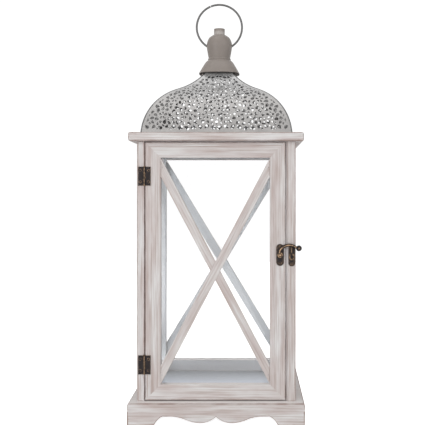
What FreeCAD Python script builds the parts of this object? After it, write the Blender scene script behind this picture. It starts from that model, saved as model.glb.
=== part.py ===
"""Hurricane candle lantern: a glazed wooden body with a door, between a scalloped base and a pierced dome.

The lantern stands on z = 0 with +Z up. Its door faces -Y and is hinged on the -X side.
Sizes are in millimetres.
"""

import FreeCAD, Part
import math
import os
import re

import Sketcher
from FreeCAD import Placement, Rotation, Vector

doc = FreeCAD.newDocument("candle_lantern")

# Driving dimensions, kept in a spreadsheet
SIZES = {
    "base_side": 280,
    "apron_tall": 23,
    "apron_thick": 12,
    "foot_inner": 97,
    "arch_outer": 84,
    "arch_inner": 70,
    "arch_tall": 13.7,
    "lobe_from_middle": 27,
    "lobe_tall": 3.5,
    "cusp_tall": 12.9,
    "floor_top": 34.5,
    "floor_round": 4,
    "body_side": 252,
    "body_top": 447,
    "post_side": 22,
    "door_stop_deep": 6,
    "post_face": 11.9,
    "lip_gap": 1.1,
    "lip_deep": 3,
    "stop_strip_tall": 10,
    "stop_strip_short": 9,
    "rail_tall": 20,
    "rail_deep": 20,
    "edge_round": 0.8,
    "roof_side": 277,
    "roof_thick": 14,
    "roof_round": 2.5,
    "vent_radius": 75,
    "bar_thick": 7,
    "bar_end_tall": 30.2,
    "bar_recess": 0.4,
    "glass_thick": 2,
    "glass_groove": 3,
    "glass_gap": 0.3,
    "dowel_radius": 2.5,
    "dowel_depth": 7,
    "dowel_half": 8,
    "screw_radius": 2,
    "screw_head": 3.6,
    "screw_head_tall": 2,
    "screw_long": 28,
    "screw_inset": 14,
    "door_left": -112.9,
    "door_right": 109.8,
    "door_bottom": 36.3,
    "door_top": 445.6,
    "door_thick": 15,
    "door_member": 24.6,
    "brad_radius": 0.7,
    "brad_long": 14,
    "brad_from_end": 2.5,
    "hinge_x": -114.1,
    "hinge_out": 1.6,
    "hinge_tall": 30,
    "hinge_low": 92.3,
    "hinge_high": 391.7,
    "leaf_wide": 9.9,
    "leaf_thick": 1.2,
    "barrel_radius": 1.6,
    "pin_radius": 0.8,
    "pin_fit": 0.05,
    "knuckle_gap": 0.2,
    "leaf_gap": 0.1,
    "leaf_screw_from_pin": 6.6,
    "leaf_screw_from_middle": 9,
    "pin_head_radius": 1.4,
    "pin_head_tall": 1.2,
    "small_screw_radius": 1.1,
    "small_screw_head": 2,
    "small_screw_head_tall": 0.9,
    "small_screw_long": 11,
    "latch_x": 101.2,
    "latch_z": 266.7,
    "latch_plate_wide": 12.4,
    "latch_plate_tall": 34.8,
    "catch_x": 119.8,
    "catch_z": 265.2,
    "catch_plate_wide": 11,
    "catch_plate_tall": 33.4,
    "plate_thick": 1.2,
    "plate_screw_from_middle": 12.6,
    "horn_x": 119,
    "horn_foot_z": 261.4,
    "horn_top_z": 281.1,
    "horn_foot_radius": 2.2,
    "horn_tip_radius": 1.4,
    "horn_out": 2.4,
    "hook_arm_radius": 1.7,
    "hook_bend": 17.5,
    "hook_tip_bend": 8.5,
    "hook_start_below": 1.1,
    "hook_tip_run": 4.1,
    "hook_ball_radius": 4.3,
    "hook_ball_dx": 29.9,
    "hook_ball_dz": 11.1,
    "hook_ball_clear": 0.5,
    "eye_radius": 3.7,
    "eye_thick": 3.5,
    "eye_gap": 0.3,
    "rivet_radius": 1.6,
    "rivet_head_radius": 3,
    "rivet_head_tall": 1,
    "rivet_in_wood": 6,
    "sheet_thick": 1,
    "dome_crown_half": 24.5,
    "belly_centre": 31,
    "belly_below_roof": 6,
    "belly_radius": 90,
    "belly_end_angle": 67.1,
    "neck_radius": 105,
    "dome_flange": 10,
    "dome_hole_radius": 6,
    "dome_hole_step": 24,
    "dome_hole_margin": 12,
    "dome_screw_from_middle": 60,
    "crown_thick": 1.5,
    "finial_wall": 1.2,
    "skirt_radius": 34.6,
    "skirt_shoulder": 23.5,
    "skirt_shoulder_z": 590.3,
    "neck_z": 596,
    "bulb_foot": 18.4,
    "bulb_radius": 22,
    "bulb_wide_z": 618.5,
    "bulb_top": 10.7,
    "bulb_top_z": 639,
    "cap_radius": 9.4,
    "cap_spigot": 8.5,
    "cap_top_z": 650,
    "bolt_radius": 3,
    "bolt_head_radius": 5.5,
    "bolt_head_tall": 4,
    "bolt_nut_tall": 5,
    "bolt_past_nut": 1.5,
    "ring_radius": 39.3,
    "ring_wire": 1.75,
    "ring_centre_z": 652.7,
    "ring_gap_angle": 1.2,
    "ring_gap_at": 113,
    "ring_hole_radius": 3.1,
}
sheet = doc.addObject("Spreadsheet::Sheet", "size")
for row, (alias, value) in enumerate(SIZES.items(), start=1):
    sheet.set(f"A{row}", alias.replace("_", " "))
    sheet.set(f"B{row}", str(value))
    sheet.setAlias(f"B{row}", alias)
doc.recompute()

# The four sides, each given by how far its pieces are turned from the front
TURN = {"front": 0, "right": 90, "rear": 180, "left": -90}
FACING = {
    "up": Rotation(),
    "out": Rotation(Vector(1, 0, 0), 90),
    "in": Rotation(Vector(1, 0, 0), -90),
    "right": Rotation(Vector(0, 1, 0), 90),
    "down": Rotation(Vector(1, 0, 0), 180),
    "leftward": Rotation(Vector(0, 0, 1), Vector(-1, 1, 0)),
    "rightward": Rotation(Vector(0, 0, 1), Vector(1, 1, 0)),
}
pieces = {}


def cells(text):
    """A formula with each dimension's name turned into a reference to its spreadsheet cell."""
    return re.sub(r"[a-z_]+", lambda word: "size." + word[0] if word[0] in SIZES else word[0], str(text))


def number(text):
    """The value of a formula, in millimetres."""
    return float(sheet.evalExpression(cells(text)))


def bind(thing, **formulas):
    """Ties properties of a document object to formulas of the spreadsheet."""
    for name, text in formulas.items():
        thing.setExpression(name, cells(text))


def place(thing, at, turn=0, facing="up"):
    """Puts a piece at a point given in the front's frame, then turns it with its side about the Z axis."""
    cosine = round(math.cos(math.radians(turn)))
    sine = round(math.sin(math.radians(turn)))
    tilt = FACING[facing] if isinstance(facing, str) else facing
    thing.Placement = Placement(Vector(), Rotation(Vector(0, 0, 1), turn) * tilt)
    x, y, z = at
    spots = {"x": f"({x})*{cosine} - ({y})*{sine}", "y": f"({x})*{sine} + ({y})*{cosine}", "z": z}
    for axis, text in spots.items():
        thing.setExpression(f"Placement.Base.{axis}", cells(text))
    return thing


def keep(name, thing):
    """Registers a document object as one node of the lantern."""
    thing.Label = name
    pieces[name] = thing
    return thing


def cut(name, blank, tools):
    """A node made by cutting other pieces' shapes out of a blank."""
    for count, tool in enumerate(tools, start=1):
        step = doc.addObject("Part::Cut", f"{name}_cut_{count}")
        step.Base = blank
        step.Tool = tool
        blank = step
    return keep(name, blank)


def fuse(name, things):
    """Several overlapping shapes as one."""
    joined = doc.addObject("Part::MultiFuse", name)
    joined.Shapes = things
    return joined


def group(name, things):
    """Several separate solids as one node."""
    compound = doc.addObject("Part::Compound", name)
    compound.Links = things
    return keep(name, compound)


def block(name, low, high, turn=0):
    """A plain box between two corners given in the front's frame."""
    box = doc.addObject("Part::Box", name)
    for side, start, end in zip(("Length", "Width", "Height"), low, high):
        bind(box, **{side: f"({end}) - ({start})"})
    return place(box, low, turn)


def ease(body, radius="edge_round", edges=None):
    """Rounds the edges of a body's last feature: all of them, or those that the test picks."""
    doc.recompute()
    last = body.Tip
    numbered = enumerate(last.Shape.Edges, start=1)
    chosen = [f"Edge{i}" for i, edge in numbered if edges is None or edges(edge)]
    rounding = body.newObject("PartDesign::Fillet", body.Name + "_eased")
    rounding.Base = (last, chosen)
    bind(rounding, Radius=radius)
    return body


def board(name, low, high, turn=0, radius="edge_round", edges=None):
    """A straight stick or board with eased edges, between two corners given in the front's frame."""
    body = doc.addObject("PartDesign::Body", name)
    blank = body.newObject("PartDesign::AdditiveBox", name + "_blank")
    for side, start, end in zip(("Length", "Width", "Height"), low, high):
        bind(blank, **{side: f"({end}) - ({start})"})
    return place(ease(body, radius, edges), low, turn)


def sketch_on(body, plane, name):
    """An empty sketch on one of a body's own origin planes."""
    sketch = body.newObject("Sketcher::SketchObject", name)
    support = [item for item in body.Origin.OriginFeatures if item.Role == plane][0]
    sketch.AttachmentSupport = [(support, "")]
    sketch.MapMode = "FlatFace"
    return sketch


def polygon(sketch, corners):
    """A closed outline of straight lines whose corners are tied to formulas."""
    spots = [Vector(number(across), number(up), 0) for across, up in corners]
    lines = [
        sketch.addGeometry(Part.LineSegment(spot, spots[(i + 1) % len(spots)]), False)
        for i, spot in enumerate(spots)
    ]
    for i, line in enumerate(lines):
        following = lines[(i + 1) % len(lines)]
        sketch.addConstraint(Sketcher.Constraint("Coincident", line, 2, following, 1))
    for line, (across, up) in zip(lines, corners):
        for kind, text in (("DistanceX", across), ("DistanceY", up)):
            tie = sketch.addConstraint(Sketcher.Constraint(kind, line, 1, number(text)))
            sketch.setExpression(f"Constraints[{tie}]", cells(text))


def trace(sketch, path):
    """An outline of lines and arcs: each step holds a line's end, or a middle and an end point of an arc."""
    start = Vector(*path[0])
    edges = []
    for step in path[1:]:
        stops = [Vector(*spot) for spot in step]
        if len(stops) == 1:
            edges.append(Part.LineSegment(start, stops[0]))
        else:
            edges.append(Part.Arc(start, stops[0], stops[1]))
        start = stops[-1]
    for edge in edges:
        sketch.addGeometry(edge, False)


def slab(name, corners, back, thick, turn=0, eased=True, edges=None):
    """A flat piece cut to a straight-sided outline seen from the front, from its back face outwards."""
    body = doc.addObject("PartDesign::Body", name)
    outline = sketch_on(body, "XZ_Plane", name + "_outline")
    polygon(outline, corners)
    pad = body.newObject("PartDesign::Pad", name + "_pad")
    pad.Profile = outline
    bind(pad, Length=thick)
    if eased:
        ease(body, edges=edges)
    return place(body, ("0", back, "0"), turn)


def turned(name, path):
    """A solid of revolution about the lantern's axis, from its half section."""
    body = doc.addObject("PartDesign::Body", name)
    section = sketch_on(body, "XZ_Plane", name + "_section")
    trace(section, path)
    spin = body.newObject("PartDesign::Revolution", name + "_turned")
    spin.Profile = section
    spin.ReferenceAxis = (section, ["V_Axis"])
    spin.Angle = 360
    return body


def rod(name, radius, long, at, facing="up", turn=0):
    """A round pin that starts at a point and runs the way it faces."""
    pin = doc.addObject("Part::Cylinder", name)
    bind(pin, Radius=radius, Height=long)
    return place(pin, at, turn, facing)


def cone(name, start_radius, end_radius, tall, at, facing="up", turn=0):
    """A tapered round piece that starts at a point and runs the way it faces."""
    taper = doc.addObject("Part::Cone", name)
    bind(taper, Radius1=start_radius, Radius2=end_radius, Height=tall)
    return place(taper, at, turn, facing)


def screw(name, size, at, facing, turn=0):
    """One countersunk screw, from the flat of its head to its end."""
    head = cone(f"{name}_head", f"{size}_head", f"{size}_radius", f"{size}_head_tall", at, facing, turn)
    shank = rod(f"{name}_shank", f"{size}_radius", f"{size}_long", at, facing, turn)
    return fuse(name, [head, shank])


# Base: four scalloped aprons, mitred at the corners, under the base board
def quadrant(side):
    """The quarter of the plan that belongs to one side, up to the mitres."""
    body = doc.addObject("PartDesign::Body", f"{side}_quadrant")
    outline = sketch_on(body, "XY_Plane", f"{side}_quadrant_outline")
    polygon(outline, [("0", "0"), ("-base_side", "-base_side"), ("base_side", "-base_side")])
    pad = body.newObject("PartDesign::Pad", f"{side}_quadrant_pad")
    pad.Profile = outline
    bind(pad, Length="ring_centre_z")
    return place(body, ("0", "0", "0"), TURN[side])


def within(name, blank, side):
    """A node made of the part of a blank that lies in one side's quadrant."""
    mitred = doc.addObject("Part::Common", name)
    mitred.Base = blank
    mitred.Tool = quadrants[side]
    return mitred


def scalloped_edge():
    """Half of an apron's lower edge, from the foot's inner corner to the cusp in the middle."""
    foot, outer, inner = number("foot_inner"), number("arch_outer"), number("arch_inner")
    lobe, arch, low = number("lobe_from_middle"), number("arch_tall"), number("lobe_tall")
    sway = ((inner + lobe) / 2, (arch + low) / 2)
    rise = (arch - low) / 2
    return [
        (foot, 0),
        [(outer + 0.69 * (foot - outer), 0.51 * arch), (outer, arch)],
        [(inner, arch)],
        [(sway[0] + 0.5 * (inner - sway[0]), sway[1] + 0.7 * rise), sway],
        [(sway[0] + 0.5 * (lobe - sway[0]), sway[1] - 0.7 * rise), (lobe, low)],
        [(0.42 * lobe, low + 0.25 * (number("cusp_tall") - low)), (0, number("cusp_tall"))],
    ]


def mirrored_path(path):
    """The same run of lines and arcs on the other side of the middle, walked the other way."""
    ends = [path[0]] + [step[-1] for step in path[1:]]
    back = []
    for i in range(len(path) - 1, 0, -1):
        back.append(path[i][:-1] + [ends[i - 1]])
    return [[(-across, up) for across, up in step] for step in back]


def flat(path):
    """Adds the third coordinate that sketch geometry needs."""
    return [(*path[0], 0)] + [[(*spot, 0) for spot in step] for step in path[1:]]


def apron(side):
    """One scalloped apron board, mitred to its neighbours."""
    name = f"base_{side}_apron"
    body = doc.addObject("PartDesign::Body", name + "_board")
    outline = sketch_on(body, "XZ_Plane", name + "_outline")
    half, tall = number("base_side/2"), number("apron_tall")
    edge = scalloped_edge()
    rest = [[(-half, 0)], [(-half, tall)], [(half, tall)], [(half, 0)], [edge[0]]]
    trace(outline, flat(edge + mirrored_path(edge) + rest))
    pad = body.newObject("PartDesign::Pad", name + "_pad")
    pad.Profile = outline
    bind(pad, Length="apron_thick")
    place(body, ("0", "-base_side/2 + apron_thick", "0"), TURN[side])
    keep(name, within(name, body, side))


quadrants = {side: quadrant(side) for side in TURN}
for side in TURN:
    apron(side)


# Body frame: screws and dowels first, because they cut their own holes in the boards that they join
FIXED_SIDES = ("right", "rear", "left")
OUTSIDE = "-body_side/2"
OPENING_HALF = "(body_side/2 - post_side)"
RAIL_SCREWS_ALONG = (-70, 70)
FRONT_POST_SCREW = (120, -118)


def frame_screws():
    """Screws up through the base board into rails and posts, and up through the top rails into the roof."""
    screws = []
    for side in FIXED_SIDES:
        for along in RAIL_SCREWS_ALONG:
            for level, height in (("base", "apron_tall"), ("roof", "body_top - rail_tall")):
                spot = (along, f"{OUTSIDE} + screw_inset", height)
                name = f"{level}_{side}_screw_{len(screws)}"
                screws.append(screw(name, "screw", spot, "up", TURN[side]))
    across, deep = FRONT_POST_SCREW
    for x in (-across, across):
        screws.append(screw(f"front_post_screw_{len(screws)}", "screw", (x, deep, "apron_tall"), "up"))
    return group("frame_screws", screws)


def frame_dowels():
    """Dowels across the butt joints between rails and posts."""
    dowels = []
    for side in FIXED_SIDES:
        for height in ("floor_top + rail_tall/2", "body_top - rail_tall/2"):
            for end in (f"-{OPENING_HALF}", OPENING_HALF):
                spot = (f"{end} - dowel_half", f"{OUTSIDE} + dowel_depth", height)
                name = f"{side}_dowel_{len(dowels)}"
                dowels.append(rod(name, "dowel_radius", "2*dowel_half", spot, "right", TURN[side]))
    return group("frame_dowels", dowels)


def pane(name, left, right, bottom, top, turn=0):
    """A glass pane whose edges sit in grooves round an opening, close behind the cross bars."""
    front = f"{OUTSIDE} + bar_recess + bar_thick + glass_gap"
    low = (f"{left} - glass_groove", front, f"{bottom} - glass_groove")
    high = (f"{right} + glass_groove", f"{front} + glass_thick", f"{top} + glass_groove")
    return keep(name, block(name, low, high, turn))


def cross_bars(prefix, left, right, bottom, top, turn=0, brads=()):
    """Two bars from corner to corner of an opening, half-lapped where they cross."""
    low, high = f"{bottom} + bar_end_tall", f"{top} - bar_end_tall"
    rising = [(left, bottom), (right, high), (right, top), (left, low)]
    falling = [(left, top), (left, high), (right, bottom), (right, low)]
    back = f"{OUTSIDE} + bar_recess + bar_thick"
    middle = f"{OUTSIDE} + bar_recess + bar_thick/2"
    laps = {
        "rising": slab(f"{prefix}_falling_lap", falling, back, "bar_thick/2", turn, eased=False),
        "falling": slab(f"{prefix}_rising_lap", rising, middle, "bar_thick/2", turn, eased=False),
    }
    for way, corners in (("rising", rising), ("falling", falling)):
        name = f"{prefix}_cross_bar_{way}"
        cut(name, slab(f"{name}_blank", corners, back, "bar_thick", turn), [laps[way], *brads])


def fixed_window(side):
    """The rails, pane and cross bars of one side that doesn't open."""
    turn = TURN[side]
    edges = (f"-{OPENING_HALF}", OPENING_HALF, "(floor_top + rail_tall)", "(body_top - rail_tall)")
    glass = pane(f"{side}_glass", *edges, turn)
    cross_bars(side, *edges, turn)
    for level, low, high in (("bottom", "floor_top", edges[2]), ("top", edges[3], "body_top")):
        name = f"{side}_{level}_rail"
        corners = (edges[0], OUTSIDE, low), (edges[1], f"{OUTSIDE} + rail_deep", high)
        cut(name, board(f"{name}_board", *corners, turn), [glass, screws, dowels])


def rear_post(name, side, left):
    """A square post, grooved for the rear pane and a side pane."""
    low = (left, "body_side/2 - post_side", "floor_top")
    high = (f"{left} + post_side", "body_side/2", "body_top")
    tools = [pieces["rear_glass"], pieces[f"{side}_glass"], screws, dowels]
    cut(f"rear_{name}_post", board(f"rear_{name}_post_board", low, high), tools)


def front_post(side, corners, tools):
    """A front post of the section that its corners give, grooved for a side pane."""
    name = f"front_{side}_post"
    body = doc.addObject("PartDesign::Body", f"{name}_stick")
    outline = sketch_on(body, "XY_Plane", f"{name}_outline")
    polygon(outline, corners)
    pad = body.newObject("PartDesign::Pad", f"{name}_pad")
    pad.Profile = outline
    bind(pad, Length="body_top - floor_top")
    ease(body)
    place(body, ("0", "0", "floor_top"))
    cut(name, body, [pieces[f"{side}_glass"], screws, dowels, *tools])


screws = frame_screws()
dowels = frame_dowels()
for side in FIXED_SIDES:
    fixed_window(side)
rear_post("left", "left", OUTSIDE)
rear_post("right", "right", "body_side/2 - post_side")
floor_low = ("-base_side/2", "-base_side/2", "apron_tall")
floor_high = ("base_side/2", "base_side/2", "floor_top")
floor_rise = number("floor_top - apron_tall")
floor_board = board(
    "base_board_blank",
    floor_low,
    floor_high,
    radius="floor_round",
    edges=lambda edge: min(corner.Z for corner in edge.Vertexes) > floor_rise / 2,
)
cut("base_board", floor_board, [screws])

# A strip on the base board stops the door, and so does the inner part of the rebated left post.
# The right post has a lip, set back from its face, that closes the gap beside the door
POST_BACK, STOP = f"{OUTSIDE} + post_side", f"{OUTSIDE} + post_side - door_stop_deep"
strip_end = f"({OPENING_HALF} - stop_strip_short)"
strip_low = (f"-{strip_end}", STOP, "floor_top")
strip_high = (strip_end, POST_BACK, "floor_top + stop_strip_tall")
keep("door_stop_strip", board("door_stop_strip", strip_low, strip_high))
left_face, left_inner = f"{OUTSIDE} + post_face", f"-{OPENING_HALF}"
LEFT_POST = [(OUTSIDE, OUTSIDE), (left_face, OUTSIDE), (left_face, STOP)]
LEFT_POST += [(left_inner, STOP), (left_inner, POST_BACK), (OUTSIDE, POST_BACK)]
right_face, right_outer = "body_side/2 - post_face", "body_side/2"
lip_front, lip_side = f"{OUTSIDE} + lip_deep", "door_right + lip_gap"
RIGHT_POST = [(right_outer, OUTSIDE), (right_face, OUTSIDE), (right_face, lip_front)]
RIGHT_POST += [(lip_side, lip_front), (lip_side, POST_BACK), (right_outer, POST_BACK)]


# Hinges: leaves screwed to the fronts of post and door, round a pin
HINGES = {"lower": "hinge_low", "upper": "hinge_high"}
HINGE_Y = f"({OUTSIDE} - hinge_out)"
LEAF_FRONT = f"({OUTSIDE} - leaf_thick)"


def hinge_leaf(name, sign, middle, knuckles, bore):
    """A leaf with its knuckles: a plate beside the barrel, and a web and a tube at each knuckle."""
    near, far = "hinge_x + barrel_radius + leaf_gap", "hinge_x + leaf_wide"
    if sign < 0:
        near, far = "hinge_x - leaf_wide", "hinge_x - barrel_radius - leaf_gap"
    web = ("hinge_x", near) if sign > 0 else (far, "hinge_x")
    plate_z = (f"{middle} - hinge_tall/2", f"{middle} + hinge_tall/2")
    shapes = [block(f"{name}_plate", (near, LEAF_FRONT, plate_z[0]), (far, OUTSIDE, plate_z[1]))]
    for count, (low, high) in enumerate(knuckles):
        low, high = f"{middle} + {low}", f"{middle} + {high}"
        shapes.append(block(f"{name}_web_{count}", (web[0], LEAF_FRONT, low), (web[1], OUTSIDE, high)))
        foot = ("hinge_x", HINGE_Y, low)
        shapes.append(rod(f"{name}_knuckle_{count}", "barrel_radius", f"{high} - ({low})", foot))
    hole = rod(f"{name}_bore", bore, "hinge_tall", ("hinge_x", HINGE_Y, plate_z[0]))
    return fuse(f"{name}_shape", shapes), hole


def leaf_screws(owner, sign):
    """Two screws for each leaf on the post or on the door."""
    x = f"hinge_x + {sign}*leaf_screw_from_pin"
    heights = [f"{middle} {rise} leaf_screw_from_middle" for middle in HINGES.values() for rise in "-+"]
    return [
        screw(f"{owner}_leaf_screw_{i}", "small_screw", (x, LEAF_FRONT, height), "in")
        for i, height in enumerate(heights)
    ]


def plate_screws(owner, x, z):
    """Two screws for a latch plate."""
    heights = [f"{z} {rise} plate_screw_from_middle" for rise in "-+"]
    return [
        screw(f"{owner}_plate_screw_{i}", "small_screw", (x, f"{OUTSIDE} - plate_thick", height), "in")
        for i, height in enumerate(heights)
    ]


catch_screws = plate_screws("post", "catch_x", "catch_z")
post_screws = group("post_hardware_screws", leaf_screws("post", -1) + catch_screws)
latch_screws = plate_screws("door", "latch_x", "latch_z")
door_screws = group("door_hardware_screws", leaf_screws("door", 1) + latch_screws)
pins = []
for level, middle in HINGES.items():
    post_leaf, door_leaf = f"{level}_hinge_post_leaf", f"{level}_hinge_door_leaf"
    low_knuckle = ("-hinge_tall/2", "-hinge_tall/6 - knuckle_gap")
    high_knuckle = ("hinge_tall/6 + knuckle_gap", "hinge_tall/2")
    leaf, hole = hinge_leaf(post_leaf, -1, middle, [low_knuckle, high_knuckle], "pin_radius")
    cut(post_leaf, leaf, [hole, post_screws])
    middle_knuckle = ("-hinge_tall/6", "hinge_tall/6")
    leaf, hole = hinge_leaf(door_leaf, 1, middle, [middle_knuckle], "pin_radius + pin_fit")
    cut(door_leaf, leaf, [hole, door_screws])
    pin_foot = f"{middle} - hinge_tall/2"
    shaft = rod(f"{level}_pin_shaft", "pin_radius", "hinge_tall", ("hinge_x", HINGE_Y, pin_foot))
    head_foot = f"{middle} + hinge_tall/2"
    head = rod(f"{level}_pin_head", "pin_head_radius", "pin_head_tall", ("hinge_x", HINGE_Y, head_foot))
    pins.append(fuse(f"{level}_pin", [shaft, head]))
group("hinge_pins", pins)
front_post("left", LEFT_POST, [post_screws])
front_post("right", RIGHT_POST, [post_screws])


# Door: a mitred frame round a pane, with cross bars nailed in at their ends
DOOR_OPENING = (
    "(door_left + door_member)",
    "(door_right - door_member)",
    "(door_bottom + door_member)",
    "(door_top - door_member)",
)
DOOR_BACK = f"{OUTSIDE} + door_thick"
TINY = 0.01
BAR_FRONT = f"{OUTSIDE} + bar_recess"


def door_brads():
    """A brad driven slantwise through each end of the bars into the stile beside it."""
    left, right, bottom, top = DOOR_OPENING
    brads = []
    for way, x in (("leftward", f"{left} + brad_from_end"), ("rightward", f"{right} - brad_from_end")):
        for z in (f"{bottom} + bar_end_tall/2", f"{top} - bar_end_tall/2"):
            brads.append(rod(f"brad_{len(brads)}", "brad_radius", "brad_long", (x, BAR_FRONT, z), way))
    return group("door_bar_brads", brads)


def stadium_plate(name, wide, tall, x, z):
    """A thin plate with round ends on the front of the wood."""
    body = doc.addObject("PartDesign::Body", name)
    outline = sketch_on(body, "XZ_Plane", f"{name}_outline")
    half = number(wide) / 2
    straight = number(tall) / 2 - half
    trace(
        outline,
        flat(
            [
                (half, -straight),
                [(half, straight)],
                [(0, straight + half), (-half, straight)],
                [(-half, -straight)],
                [(0, -straight - half), (half, -straight)],
            ]
        ),
    )
    pad = body.newObject("PartDesign::Pad", f"{name}_pad")
    pad.Profile = outline
    bind(pad, Length="plate_thick")
    return place(body, (x, OUTSIDE, z))


brads = door_brads()
door_glass = pane("door_glass", *DOOR_OPENING)
cross_bars("door", *DOOR_OPENING, brads=[brads])
rivet_out = "rivet_in_wood + plate_thick + 2*eye_gap + eye_thick"
rivet_foot = ("latch_x", f"{OUTSIDE} + rivet_in_wood", "latch_z")
rivet_end = ("latch_x", f"{OUTSIDE} - plate_thick - 2*eye_gap - eye_thick", "latch_z")
rivet_shaft = rod("rivet_shaft", "rivet_radius", rivet_out, rivet_foot, "out")
rivet_head = cone("rivet_head", "rivet_head_radius", "rivet_radius", "rivet_head_tall", rivet_end, "out")
rivet = keep("latch_pivot_rivet", fuse("latch_pivot_rivet", [rivet_shaft, rivet_head]))
in_left, in_right, in_bottom, in_top = DOOR_OPENING
low_left, low_right = ("door_left", "door_bottom"), ("door_right", "door_bottom")
high_left, high_right = ("door_left", "door_top"), ("door_right", "door_top")
DOOR_MEMBERS = {
    "door_hinge_stile": [low_left, (in_left, in_bottom), (in_left, in_top), high_left],
    "door_latch_stile": [low_right, (in_right, in_bottom), (in_right, in_top), high_right],
    "door_bottom_rail": [low_left, (in_left, in_bottom), (in_right, in_bottom), low_right],
    "door_top_rail": [high_left, (in_left, in_top), (in_right, in_top), high_right],
}


def beside_mitre(edge):
    """True for a stick's long edges and false for those of its mitred ends."""
    along = edge.Vertexes[1].Point - edge.Vertexes[0].Point
    return abs(along.y) < TINY and min(abs(along.x), abs(along.z)) < TINY


for name, corners in DOOR_MEMBERS.items():
    stick = slab(f"{name}_stick", corners, DOOR_BACK, "door_thick", edges=beside_mitre)
    tools = [door_glass, door_screws, brads, rivet] if name.endswith("stile") else [door_glass]
    cut(name, stick, tools)

# Latch: a horn-shaped hook that turns on the door plate, over a horn on the post's catch plate
ARM_OUT = f"({OUTSIDE} - plate_thick - eye_gap - eye_thick/2)"


def hook_arm():
    """The bent arm of the hook, from its eye up over the catch and down to the ball."""
    body = doc.addObject("PartDesign::Body", "hook_arm")
    spine = sketch_on(body, "XZ_Plane", "hook_arm_spine")
    bend, tip, run = number("hook_bend"), number("hook_tip_bend"), number("hook_tip_run")
    half, quarter = math.sin(math.radians(45)), math.radians(22.5)
    knee = (bend + tip * half, bend - tip + tip * half)
    path = [
        (0, 0),
        [(bend - bend * half, bend * half), (bend, bend)],
        [(bend + tip * math.sin(quarter), bend - tip + tip * math.cos(quarter)), knee],
        [(knee[0] + run * half, knee[1] - run * half)],
    ]
    trace(spine, flat(path))
    section = sketch_on(body, "XY_Plane", "hook_arm_section")
    circle = section.addGeometry(Part.Circle(Vector(), Vector(0, 0, 1), number("hook_arm_radius")), False)
    tie = section.addConstraint(Sketcher.Constraint("Radius", circle, number("hook_arm_radius")))
    section.setExpression(f"Constraints[{tie}]", cells("hook_arm_radius"))
    pipe = body.newObject("PartDesign::AdditivePipe", "hook_arm_pipe")
    pipe.Profile = section
    pipe.Spine = (spine, ["Edge1", "Edge2", "Edge3"])
    return place(body, ("latch_x", ARM_OUT, "latch_z - hook_start_below"))


def ball(name, radius, at):
    """A round ball."""
    sphere = doc.addObject("Part::Sphere", name)
    bind(sphere, Radius=radius)
    return place(sphere, at)


plate = stadium_plate("latch_plate_blank", "latch_plate_wide", "latch_plate_tall", "latch_x", "latch_z")
cut("latch_plate", plate, [door_screws, rivet])
eye_back = f"{OUTSIDE} - plate_thick - eye_gap"
ball_out = f"{OUTSIDE} - hook_ball_radius - hook_ball_clear"
hook_shapes = [
    rod("hook_eye", "eye_radius", "eye_thick", ("latch_x", eye_back, "latch_z"), "out"),
    hook_arm(),
    ball("hook_ball", "hook_ball_radius", ("latch_x + hook_ball_dx", ball_out, "latch_z + hook_ball_dz")),
]
hook_bore = rod("hook_bore", "rivet_radius + pin_fit", "eye_thick", ("latch_x", eye_back, "latch_z"), "out")
cut("latch_hook", fuse("hook_shape", hook_shapes), [hook_bore])
horn_foot = ("horn_x", OUTSIDE, "horn_foot_z")
horn_elbow = ("horn_x", f"{OUTSIDE} - plate_thick - horn_out", "horn_foot_z")
horn_tall = "horn_top_z - horn_foot_z"
catch_shapes = [
    stadium_plate("catch_plate_blank", "catch_plate_wide", "catch_plate_tall", "catch_x", "catch_z"),
    rod("horn_foot", "horn_foot_radius", "plate_thick + horn_out", horn_foot, "out"),
    ball("horn_elbow", "horn_foot_radius", horn_elbow),
    cone("horn", "horn_foot_radius", "horn_tip_radius", horn_tall, horn_elbow),
]
cut("catch_plate", fuse("catch_shape", catch_shapes), [post_screws])

# Dome: four pierced sheet panels, each bent to an S in one direction, that meet at the hips
ROOF_TOP = "body_top + roof_thick"
BELLY_RISE = number(ROOF_TOP) - number("belly_below_roof")
HOLE_ROWS = (12, 26, 40, 54)
HOLE_REACH = 15


def around(centre, radius, degrees):
    """A point on a circle, in a sketch whose across axis points into the lantern."""
    angle = math.radians(degrees)
    return (-(centre[0] + radius * math.cos(angle)), centre[1] + radius * math.sin(angle))


def dome_section():
    """A panel's section: belly, neck and screwed flange. Also gives its top and the middle of its flange."""
    belly, neck = number("belly_radius"), number("neck_radius")
    wall, flange, turn = number("sheet_thick"), number("dome_flange"), number("belly_end_angle")
    centre = (number("belly_centre"), BELLY_RISE)
    far = around(centre, belly + neck, turn)
    neck_centre = (-far[0], far[1])
    roof = number(ROOF_TOP)
    foot = math.degrees(math.asin((roof - BELLY_RISE) / belly))
    inner_foot = math.degrees(math.asin((roof + wall - BELLY_RISE) / (belly - wall)))
    end = 360 - math.degrees(math.acos((number("dome_crown_half") - neck_centre[0]) / neck))
    top = around(neck_centre, neck, end)[1]
    inner_end = 180 + math.degrees(math.asin((neck_centre[1] - top) / (neck + wall)))
    inside = around(centre, belly - wall, inner_foot)
    path = [
        around(centre, belly, foot),
        [around(centre, belly, (foot + turn) / 2), around(centre, belly, turn)],
        [around(neck_centre, neck, (180 + turn + end) / 2), around(neck_centre, neck, end)],
        [around(neck_centre, neck + wall, inner_end)],
        [
            around(neck_centre, neck + wall, (180 + turn + inner_end) / 2),
            around(neck_centre, neck + wall, 180 + turn),
        ],
        [around(centre, belly - wall, (inner_foot + turn) / 2), inside],
        [(inside[0] + flange, roof + wall)],
        [(inside[0] + flange, roof)],
        [around(centre, belly, foot)],
    ]
    return path, top, inside[0] + flange / 2


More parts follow.
